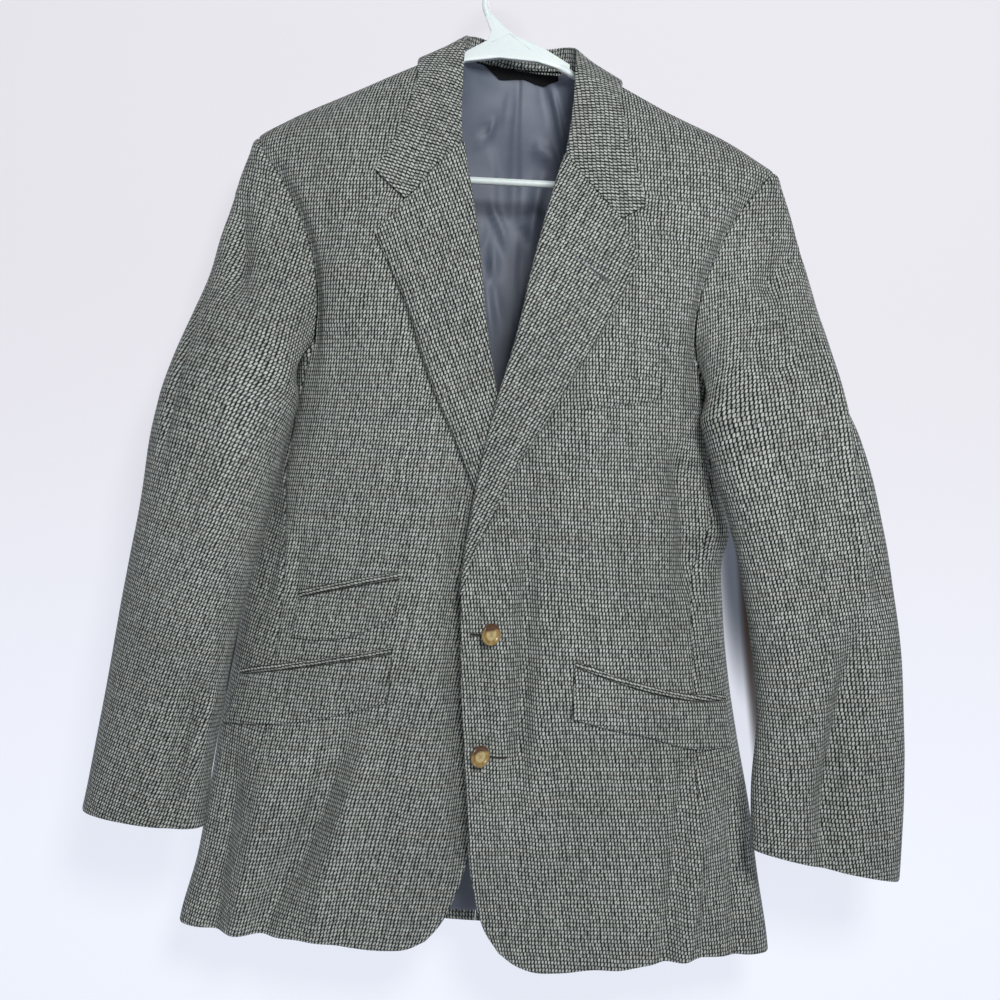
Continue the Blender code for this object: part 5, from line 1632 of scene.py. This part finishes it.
def shadow_line(node, centre, half):
    """Two stitches through the button's four holes, and a dark rod in each hole as its
    painted shade.
    """
    gap = BUTTON_DIAMETER * 0.075
    turn = np.array(Matrix.Rotation(math.radians(BUTTON_TURN), 3, "Z"))
    for n, (dx, dz) in enumerate(((-1, -1), (1, -1), (1, 1), (-1, 1))):
        ends = [turn @ (dx * gap, depth, dz * gap) + centre for depth in (-0.1, -0.82)]
        # painted shade: a dark rod stands in each of the button's holes
        sewn(f"{node}_hole_{n + 1}", ends, 0.4, PAINTED_HOLE_SHADE, "horn", sides=12)
    shank = [centre + (0, depth, 0) for depth in (half - 0.3, half + BUTTON_SHANK)]
    sewn(f"{node}_shank", shank, 1.5, TAN_THREAD, "horn", sides=12)
    for n, dz in enumerate((-1, 1)):
        line = [turn @ (dx * gap, depth, dz * dx * gap) + centre for dx, depth in
                ((-1, -0.5), (-0.9, -0.95), (-0.3, -1.2), (0.3, -1.2), (0.9, -0.95),
                 (1, -0.5))]
        sewn(f"{node}_thread_{n + 1}", line, 0.3, TAN_THREAD, "horn", sides=8)


def over_front(x, z, rise):
    """Points a little above the left front's own cloth."""
    s = SKIN[LEFT].girth_at(x, z)
    return on_body(LEFT, s, z, rise - front_sink(LEFT, s, z))


def buttonhole(name, ends, rise, look):
    """Thread worked over both lips of a slit and round its ends."""
    (x0, z0), (x1, z1) = ends
    length = math.hypot(x1 - x0, z1 - z0)
    way, off = np.array([x1 - x0, z1 - z0]) / length, np.array([z0 - z1, x1 - x0]) / length
    uneven = np.random.RandomState(len(name)).uniform(-WORKED_UNEVEN, WORKED_UNEVEN,
                                                      WORKED_STITCHES)
    loop = []
    for n in range(WORKED_STITCHES):
        a = 2 * math.pi * n / WORKED_STITCHES
        along_it = (0.5 + 0.5 * np.sign(math.cos(a)) * abs(math.cos(a)) ** 0.35) * length
        across_it = WORKED_GAP * np.sign(math.sin(a)) * abs(math.sin(a)) ** 0.45
        loop.append(np.array([x0, z0]) + way * along_it + off * (across_it + uneven[n]))
    sewn(name, over_front(*np.array(loop).T, rise), 0.42, look, closed=True, sides=8)
    slit = along(np.array([[x0, z0], [x1, z1]]), np.linspace(0.02, 0.98, 16))
    # painted shade: a dark rod lies in the buttonhole's slit
    sewn(name + "_slit", over_front(*slit.T, rise - 0.35), 0.5, PAINTED_HOLE_SHADE, sides=8)


def lapel_stitches():
    """Pale stitches that run on from the lapel's buttonhole."""
    (x0, z0), (x1, z1) = STITCH_RUN
    for n, share in enumerate(np.linspace(0, 1, STITCH_PAIRS)):
        for row, shift in enumerate((-0.9, 0.9)):
            x = x0 + (x1 - x0) * share + shift * 0.55 + np.array([-0.55, 0.55])
            z = z0 + (z1 - z0) * share + shift * 0.8 + np.array([0.4, -0.4])
            rise = LAPEL_RISE + 0.15 + 0.2 * (row == n % 2)
            sewn(f"lapel_stitch_{n + 1}_{row + 1}", over_front(x, z, rise), 0.4,
                 LILAC_THREAD, sides=8)


# ------------------------------------------------------------------ hanger
def hook():
    """A rod that rises from the hanger's web and turns over to the right."""
    over = [(HOOK_RADIUS * math.cos(a), 0.0,
             HOOK_ROD - HOOK_RADIUS + HOOK_RADIUS * math.sin(a))
            for a in np.radians(np.linspace(12, 180, 57))]
    neck = smooth_path([over[-1], (-25.3, 0, -29), (-23.5, 0, -35.5), (-19.5, 0, -41.5),
                        (-14, 0, -46), (-10.0, 0, -48.6), (-8.4, 0, -50.6),
                        (-8.2, 0, -52.7)], 40)
    points = over[:-1] + list(neck)
    piece("hanger_hook_rod", tube_mesh("hanger_hook_rod", points, HOOK_ROD, sides=20),
          PLASTIC, "white_plastic", "hanger_hook")


def hanger():
    """A flat web under the hook, two sloping arms and the bar between them."""
    data = bpy.data.curves.new("web", "CURVE")
    data.dimensions = "2D"
    data.fill_mode = "BOTH"
    data.extrude = (HANGER_THICKNESS / 2 - WEB_ROUND) * MM
    data.bevel_depth = WEB_ROUND * MM
    data.bevel_resolution = 3
    data.offset = -WEB_ROUND * MM
    draw(data, [(x, z, 0) for x, z in HANGER_WEB], True)
    web = curve_to_mesh("hanger_web", data, Matrix.Rotation(math.radians(90), 4, "X"))
    web = piece("hanger_web", web, PLASTIC, "white_plastic", "hanger")

    slope = math.tan(math.radians(ARM_SLOPE))
    tip_z = ARM_Z - (ARM_TIP_X - ARM_X) * slope
    radius = (tip_z - BAR_Z) / 2
    turn = [(ARM_TIP_X + radius * math.sin(a) * 0.9, 0.0,
             (tip_z + BAR_Z) / 2 + radius * math.cos(a))
            for a in np.radians(np.linspace(0, 180, 33))]
    half = [(ARM_X - ARM_ROOT, 0.0, ARM_Z + ARM_ROOT * slope)] + turn
    line = half + [(-x, y, z) for x, y, z in reversed(half)]
    tool = in_scene("hanger_arms", tube_mesh("hanger_arms", line, HANGER_ROD, sides=16))
    tool.data.materials.append(PLASTIC)
    union = web.modifiers.new("arms", "BOOLEAN")
    union.operation = "UNION"
    union.solver = "EXACT"
    union.object = tool
    whole = evaluated_mesh(web)
    web.modifiers.clear()
    web.data = whole
    bpy.data.objects.remove(tool)
    whole.polygons.foreach_set("use_smooth", np.ones(len(whole.polygons), dtype=bool))
    whole.set_sharp_from_angle(angle=math.radians(50))
    front = -HANGER_THICKNESS / 2
    for n, line in enumerate(HANGER_RIBS):
        points = [(x, front + 0.18, z) for x, z in line]
        sewn(f"hanger_rib_{n + 1}", points, 0.4, PLASTIC, "white_plastic")


# ------------------------------------------------------------------ shader helpers
class Nodes:
    """Small helper that adds and links shader nodes in one tree."""

    def __init__(self, tree):
        self.tree = tree
        self.column = 0

    def add(self, kind, **settings):
        """A new node, set out after the ones before it."""
        node = self.tree.nodes.new(kind)
        self.column += 1
        node.location = (180 * (self.column % 12), -220 * (self.column // 12))
        for name, value in settings.items():
            setattr(node, name, value)
        return node

    def put(self, socket, value):
        """Link a socket into another one, or set it to a value; a colour has three."""
        if isinstance(value, bpy.types.NodeSocket):
            self.tree.links.new(value, socket)
        elif value is not None:
            socket.default_value = (*value, 1) if socket.type == "RGBA" else value

    def give(self, sockets, **values):
        """Fill sockets by their names, with an underscore for each space."""
        for name, value in values.items():
            self.put(sockets[name.replace("_", " ")], value)

    def math(self, operation, first, second=None, third=None):
        node = self.add("ShaderNodeMath", operation=operation)
        for socket, value in zip(node.inputs, (first, second, third)):
            self.put(socket, value)
        return node.outputs[0]

    def plus(self, first, second):
        return self.math("ADD", first, second)

    def minus(self, first, second):
        return self.math("SUBTRACT", first, second)

    def times(self, first, second):
        return self.math("MULTIPLY", first, second)

    def swing(self, value, size):
        """A value between 0 and 1, as a swing to both sides of nothing."""
        return self.times(self.minus(value, 0.5), size)

    def smooth(self, value, low, high, out_low=0.0, out_high=1.0):
        """A value eased from one range to another."""
        node = self.add("ShaderNodeMapRange", interpolation_type="SMOOTHSTEP")
        self.give(node.inputs, Value=value, From_Min=low, From_Max=high,
                  To_Min=out_low, To_Max=out_high)
        return node.outputs["Result"]

    def noise(self, vector, scale, detail=2.0, roughness=0.5):
        node = self.add("ShaderNodeTexNoise")
        self.give(node.inputs, Vector=vector, Scale=scale, Detail=detail,
                  Roughness=roughness)
        return node.outputs["Fac"]

    def white(self, x, y):
        """Three numbers drawn by lot for a pair of whole numbers."""
        pair = self.add("ShaderNodeCombineXYZ")
        self.give(pair.inputs, X=x, Y=y)
        node = self.add("ShaderNodeTexWhiteNoise", noise_dimensions="2D")
        self.give(node.inputs, Vector=pair.outputs[0])
        lots = self.add("ShaderNodeSeparateColor")
        self.give(lots.inputs, Color=node.outputs["Color"])
        return lots.outputs

    def split(self, vector):
        node = self.add("ShaderNodeSeparateXYZ")
        self.give(node.inputs, Vector=vector)
        return tuple(node.outputs)

    def mix(self, share, first, second):
        """A colour between two others."""
        node = self.add("ShaderNodeMix", data_type="RGBA")
        self.put(node.inputs["Factor"], share)
        self.put(node.inputs[6], first)
        self.put(node.inputs[7], second)
        return node.outputs[2]

    def bump(self, height, strength, distance):
        node = self.add("ShaderNodeBump")
        self.give(node.inputs, Height=height, Strength=strength, Distance=distance)
        return node.outputs[0]

    def cut(self):
        """The place on the cloth as it was cut, laid out flat."""
        return self.add("ShaderNodeUVMap", uv_map="cut").outputs[0]

    def place(self):
        """The place in space, from the origin."""
        return self.add("ShaderNodeTexCoord").outputs["Object"]


def shared(name, inputs, outputs):
    """A shader node group with named sockets, and the nodes at its two ends."""
    group = bpy.data.node_groups.new(name, "ShaderNodeTree")
    for direction, sockets in (("INPUT", inputs), ("OUTPUT", outputs)):
        for socket, kind, *default in sockets:
            made = group.interface.new_socket(name=socket, in_out=direction,
                                              socket_type="NodeSocket" + kind)
            if default:
                made.default_value = default[0]
    nodes = Nodes(group)
    start, end = nodes.add("NodeGroupInput"), nodes.add("NodeGroupOutput")
    return group, nodes, start.outputs, end.inputs


def fresh(name):
    """An empty material with its Principled shader."""
    made = bpy.data.materials.new(name)
    made.use_nodes = True
    shader = made.node_tree.nodes["Principled BSDF"]
    return made, Nodes(made.node_tree), shader.inputs


def use(nodes, group, **values):
    """A shared group in a material's tree, with its sockets filled."""
    node = nodes.add("ShaderNodeGroup", node_tree=group)
    nodes.give(node.inputs, **values)
    return node.outputs


# ------------------------------------------------------------------ the tweed's weave
def tweed_weave():
    """Light dashes on a dark ground, in columns along the cloth's length."""
    group, nodes, given, result = shared(
        "Tweed weave",
        (("Cloth", "Vector"), ("Place", "Vector"), ("Column width", "Float", 0.00312),
         ("Row height", "Float", 0.00379), ("Dash colour", "Color", (0.4, 0.4, 0.4, 1)),
         ("Ground colour", "Color", (0.03, 0.03, 0.03, 1)),
         ("Warm colour", "Color", (0.4, 0.3, 0.2, 1)), ("Warmth", "Float", 0.3)),
        (("Color", "Color"), ("Height", "Float"), ("Fuzz", "Float")))
    spot = given["Cloth"]
    # a slow wander, so that no column is ruled straight
    wander = nodes.swing(nodes.noise(spot, 55.0, 1.0), 0.0016)
    shiver = nodes.swing(nodes.noise(spot, 900.0, 1.0), 0.0009)
    x, y, _ = nodes.split(spot)
    across = nodes.math("DIVIDE", nodes.plus(nodes.plus(x, wander), shiver),
                        given["Column width"])
    upward = nodes.math("DIVIDE", nodes.plus(y, wander), given["Row height"])
    column, row = nodes.math("FLOOR", across), nodes.math("FLOOR", upward)
    lots = nodes.white(column, row)
    # where a point lies in its cell, each dash a little off the middle
    in_x = nodes.minus(nodes.math("FRACT", across), 0.5)
    in_y = nodes.minus(nodes.math("FRACT", upward), 0.5)
    shift = nodes.swing(lots[0], 0.16)
    lean = nodes.times(in_y, 0.34)
    off_x = nodes.math("ABSOLUTE", nodes.minus(nodes.plus(in_x, shift), lean))
    off_y = nodes.math("ABSOLUTE", nodes.plus(in_y, nodes.times(shift, 0.7)))
    bead_there = nodes.smooth(off_y, 0.22, 0.47, 1.0, 0.0)
    size = nodes.plus(nodes.math("MULTIPLY_ADD", lots[1], 0.07, 0.185),
                      nodes.times(bead_there, 0.08))
    wide = nodes.smooth(nodes.minus(off_x, size), -0.09, 0.07, 1.0, 0.0)
    dash = nodes.times(wide, nodes.math("MULTIPLY_ADD", bead_there, 0.62, 0.38))
    # each yarn has its own shade, along its whole length and from dash to dash
    warp, weft = nodes.white(column, 3.5), nodes.white(7.5, row)
    yarn = nodes.plus(nodes.times(warp[0], 0.18), nodes.times(weft[0], 0.06))
    strength = nodes.plus(nodes.times(lots[2], 0.42), nodes.plus(yarn, 0.50))
    slub = nodes.noise(spot, 2600.0, 1.0, 0.6)
    strength = nodes.times(strength, nodes.smooth(slub, 0.25, 0.75, 0.78, 1.22))
    # the dark ground is never even: flecks, and a thinner thread between the rows
    fleck = nodes.noise(spot, 1500.0, 2.0, 0.7)
    ground = nodes.mix(nodes.smooth(fleck, 0.45, 0.85), given["Ground colour"],
                       nodes.mix(0.22, given["Ground colour"], given["Dash colour"]))
    warm = nodes.times(nodes.math("GREATER_THAN", weft[1], 0.62), given["Warmth"])
    pale = nodes.mix(nodes.times(warm, lots[1]), given["Dash colour"],
                     given["Warm colour"])
    colour = nodes.mix(nodes.math("MINIMUM", nodes.times(dash, strength), 1.0), ground,
                       pale)
    cloud = nodes.smooth(nodes.noise(given["Place"], 7.0, 2.0), 0.3, 0.7, 0.93, 1.07)
    tone = nodes.add("ShaderNodeVectorMath", operation="SCALE")
    nodes.put(tone.inputs[0], colour)
    nodes.give(tone.inputs, Scale=cloud)
    nodes.give(result, Color=tone.outputs[0],
               Height=nodes.plus(nodes.times(dash, 0.75), nodes.times(fleck, 0.5)),
               Fuzz=nodes.smooth(slub, 0.3, 0.8))
    return group


def tweed(group):
    """The coarse wool cloth, a little fuzzy."""
    made, nodes, shader = fresh("tweed_cloth")
    weave = use(nodes, group, Cloth=nodes.cut(), Place=nodes.place(), Dash_colour=DASH,
                Ground_colour=GROUND, Warm_colour=WARM_DASH, Warmth=0.25)
    nodes.give(shader, Base_Color=weave["Color"],
               Normal=nodes.bump(weave["Height"], 0.75, 0.00045),
               Roughness=nodes.smooth(weave["Fuzz"], 0.0, 1.0, 0.88, 0.97),
               Specular_IOR_Level=0.08, Sheen_Weight=0.04, Sheen_Roughness=0.55,
               Sheen_Tint=(0.82, 0.86, 0.84))
    return made


def satin():
    """Grey-blue lining: fine lines along the warp and a soft gloss."""
    made, nodes, shader = fresh("satin_lining_cloth")
    cut = nodes.cut()
    long = nodes.add("ShaderNodeMapping")
    nodes.give(long.inputs, Vector=cut, Scale=(3800.0, 260.0, 1.0))
    lines = nodes.noise(long.outputs[0], 1.0, 2.0, 0.6)
    colour = nodes.mix(nodes.smooth(nodes.noise(cut, 22.0, 2.0), 0.3, 0.7), SATIN_DEEP,
                       SATIN_PALE)
    colour = nodes.mix(nodes.smooth(lines, 0.3, 0.7, 0.0, 0.18), colour, SATIN_THREAD)
    nodes.give(shader, Base_Color=colour, Normal=nodes.bump(lines, 0.25, 0.0001),
               Roughness=nodes.smooth(lines, 0.2, 0.8, 0.50, 0.62), Sheen_Weight=0.25,
               Sheen_Roughness=0.35, Sheen_Tint=(0.8, 0.86, 1.0))
    return made


def woven_label():
    """Black woven satin with a fine rib."""
    made, nodes, shader = fresh("black_label_cloth")
    wave = nodes.add("ShaderNodeTexWave", bands_direction="Y")
    nodes.give(wave.inputs, Vector=nodes.cut(), Scale=420.0, Distortion=0.4)
    rib = wave.outputs["Fac"]
    nodes.give(shader, Base_Color=nodes.mix(rib, (0.002, 0.002, 0.003),
                                            (0.007, 0.007, 0.009)),
               Normal=nodes.bump(rib, 0.4, 0.0001), Roughness=0.7,
               Specular_IOR_Level=0.15)
    return made


def horn(name, middle, dark_way, darkness):
    """Tan horn streaked pale and tan, paler in the dished middle and darker towards one
    side.
    """
    made, nodes, shader = fresh(name)
    place = nodes.place()
    centre = nodes.add("ShaderNodeVectorMath", operation="SUBTRACT")
    nodes.put(centre.inputs[0], place)
    nodes.put(centre.inputs[1], tuple(middle))
    away = nodes.add("ShaderNodeVectorMath", operation="LENGTH")
    nodes.put(away.inputs[0], centre.outputs[0])
    streak = nodes.noise(place, 260.0, 3.0, 0.6)
    colour = nodes.mix(nodes.smooth(streak, 0.3, 0.7), HORN_PALE, HORN_TAN)
    colour = nodes.mix(nodes.smooth(away.outputs["Value"], 0.0062, 0.0045, 0.0, 0.65),
                       colour, HORN_CREAM)
    x, _, z = nodes.split(centre.outputs[0])
    along_it = nodes.plus(nodes.times(x, dark_way[0]), nodes.times(z, dark_way[1]))
    along_it = nodes.plus(along_it, nodes.swing(nodes.noise(place, 95.0, 3.0, 0.65),
                                                0.010))
    dark = nodes.smooth(along_it, 0.0016, 0.0052, 0.0, darkness)
    nodes.give(shader, Base_Color=nodes.mix(dark, colour, HORN_DARK),
               Roughness=nodes.smooth(streak, 0.2, 0.8, 0.28, 0.42), Coat_Weight=0.6,
               Coat_Roughness=0.2, Subsurface_Weight=0.08, Subsurface_Scale=0.002)
    return made


def plastic():
    """Moulded white plastic with a faint cool cast."""
    made, nodes, shader = fresh("white_plastic_moulded")
    place = nodes.place()
    cloud = nodes.noise(place, 35.0, 2.0)
    pits = nodes.noise(place, 700.0, 2.0)
    nodes.give(shader, Base_Color=nodes.mix(cloud, (0.84, 0.95, 0.975), (0.88, 0.98, 1.0)),
               Normal=nodes.bump(pits, 0.08, 0.0002),
               Roughness=nodes.smooth(pits, 0.2, 0.8, 0.24, 0.36),
               Subsurface_Weight=0.15, Subsurface_Scale=0.004)
    return made


def plain(name, low, high, scale, roughness):
    """A small part's colour, uneven at the scale of its own fibres."""
    made, nodes, shader = fresh(name)
    grain = nodes.noise(nodes.place(), scale, 2.0)
    nodes.give(shader, Base_Color=nodes.mix(grain, low, high), Roughness=roughness)
    return made


# ------------------------------------------------------------------ the finished cuts
def declare_sheets():
    """Go over each sheet's cut and look up the names of what it hangs on; nothing is kept.
    """
    for node, width, length, area, rests in CUTS:
        [MADE[other].name if other in MADE else other
                           for other in rests.split()]


# ------------------------------------------------------------------ studio
def wall_look():
    """Pale paint, shaded in the gaps beside the sleeves, and clear from behind."""
    wall, nodes, shader = fresh("pale_wall")
    place = nodes.place()
    grain = nodes.noise(place, 60.0, 4.0, 0.6)
    paint = nodes.mix(grain, WALL_COLOUR, [c * 0.985 for c in WALL_COLOUR])
    x, _, z = nodes.split(place)
    glow = nodes.mix(nodes.smooth(z, -0.25, -0.95), WALL_GLOW_TOP, WALL_GLOW_FOOT)
    for middle, slant, half_width, half_height, depth, colour in WALL_SHADES:
        down = nodes.minus(z, middle[1])
        over = nodes.minus(nodes.minus(x, middle[0]), nodes.times(down, slant))
        over = nodes.math("DIVIDE", over, half_width)
        down = nodes.math("DIVIDE", down, half_height)
        away = nodes.plus(nodes.times(over, over), nodes.times(down, down))
        shade = nodes.smooth(away, 1.0, 0.1, 0.0, depth)
        paint, glow = nodes.mix(shade, paint, colour), nodes.mix(shade, glow, colour)
    nodes.give(shader, Base_Color=paint, Emission_Color=glow, Emission_Strength=1.0,
               Roughness=0.95, Specular_IOR_Level=0.1)
    path = nodes.add("ShaderNodeLightPath").outputs
    facing = nodes.add("ShaderNodeNewGeometry").outputs
    from_behind = nodes.times(path["Is Camera Ray"], facing["Backfacing"])
    clear = nodes.math("MAXIMUM", from_behind, path["Is Shadow Ray"])
    surface = wall.node_tree.nodes["Principled BSDF"].outputs[0]
    glass = nodes.add("ShaderNodeBsdfTransparent")
    mixed = nodes.add("ShaderNodeMixShader")
    for socket, value in zip(mixed.inputs, (clear, surface, glass.outputs[0])):
        nodes.put(socket, value)
    nodes.give(wall.node_tree.nodes["Material Output"].inputs, Surface=mixed.outputs[0])
    return wall


def backdrop():
    """A pale wall close behind the jacket, and a pale floor."""
    floor, nodes, shader = fresh("pale_floor")
    nodes.give(shader, Base_Color=(0.78, 0.78, 0.79), Roughness=0.9)
    r, y, z = ROOM_REACH, WALL_Y, FLOOR_Z
    for name, look, corners in (
            ("backdrop_wall", wall_look(), ((-r, y, z), (r, y, z), (r, y, WALL_TOP),
                                            (-r, y, WALL_TOP))),
            ("backdrop_floor", floor, ((-r, -r, z), (r, -r, z), (r, r, z), (-r, r, z)))):
        mesh = bpy.data.meshes.new(name)
        mesh.from_pydata(corners, [], [(0, 1, 2, 3)])
        mesh.materials.append(look)
        in_scene(name, mesh)


def area_light(name, place, aim, size, power, colour):
    """A lamp that faces a point."""
    data = bpy.data.lights.new(name, "AREA")
    data.shape = "RECTANGLE"
    data.size, data.size_y = size
    data.energy = power
    data.color = colour
    made = in_scene(name, data)
    made.location = place
    made.rotation_euler = (Vector(aim) - Vector(place)).to_track_quat("-Z", "Y").to_euler()


def studio():
    """The room's own light, and the lamps."""
    world = bpy.data.worlds.new("pale_room")
    world.use_nodes = True
    Nodes(world.node_tree).give(world.node_tree.nodes["Background"].inputs,
                                Color=ROOM_COLOUR, Strength=ROOM_LIGHT)
    bpy.context.scene.world = world
    for row in LIGHTS:
        area_light(*row)


def camera():
    """A long lens in front, level and turned a little on its own axis."""
    data = bpy.data.cameras.new("camera")
    data.lens = CAMERA_LENS
    data.sensor_width = 36.0
    data.clip_start = 0.01
    made = in_scene("camera", data)
    made.matrix_world = (Matrix.Translation(CAMERA_PLACE)
                         @ Matrix.Rotation(math.radians(90), 4, "X")
                         @ Matrix.Rotation(math.radians(CAMERA_TILT), 4, "Z"))
    bpy.context.scene.camera = made
    bpy.context.scene.view_settings.view_transform = "Standard"


# ------------------------------------------------------------------ the whole
camera()
TWEED = tweed(tweed_weave())
SATIN, LABEL, PLASTIC = satin(), woven_label(), plastic()
# Dark thread for the worked buttonholes, also used for the painted shadow lines by the
# pockets.
DARK_THREAD_AND_SHADOW = plain("dark_thread_and_painted_shadow", (0.02, 0.022, 0.022), (0.07, 0.072, 0.07), 2500.0, 0.8)
TAN_THREAD = plain("tan_thread", (0.30, 0.24, 0.13), (0.44, 0.36, 0.21), 2500.0, 0.8)
PALE_THREAD = plain("grey_thread", (0.09, 0.10, 0.11), (0.22, 0.24, 0.26), 2500.0, 0.8)
LILAC_THREAD = plain("lilac_thread", (0.16, 0.16, 0.22), (0.34, 0.34, 0.44), 2500.0, 0.8)
# Near black, painted as the shade in the buttons' holes and the buttonholes' slits.
PAINTED_HOLE_SHADE = plain("shadowed_slit", (0.008, 0.007, 0.006), (0.02, 0.018, 0.015), 900.0, 0.9)

for wearer_side in SIDES:
    front_panel(wearer_side)
    side_body(wearer_side)
    back_panel(wearer_side)
    sleeve_pieces(wearer_side)
    lapel(wearer_side)
collar()
pockets()
seam_shadow_lines()
back_lining()
neck_label()
for button_name, (button_x, button_z) in BUTTONS.items():
    button(button_name, button_x, button_z)
for hole_name, hole_ends, hole_rise in BUTTONHOLES:
    buttonhole(hole_name, hole_ends, hole_rise,
               PALE_THREAD if "lapel" in hole_name else DARK_THREAD_AND_SHADOW)
lapel_stitches()
hook()
hanger()
declare_sheets()
backdrop()
studio()
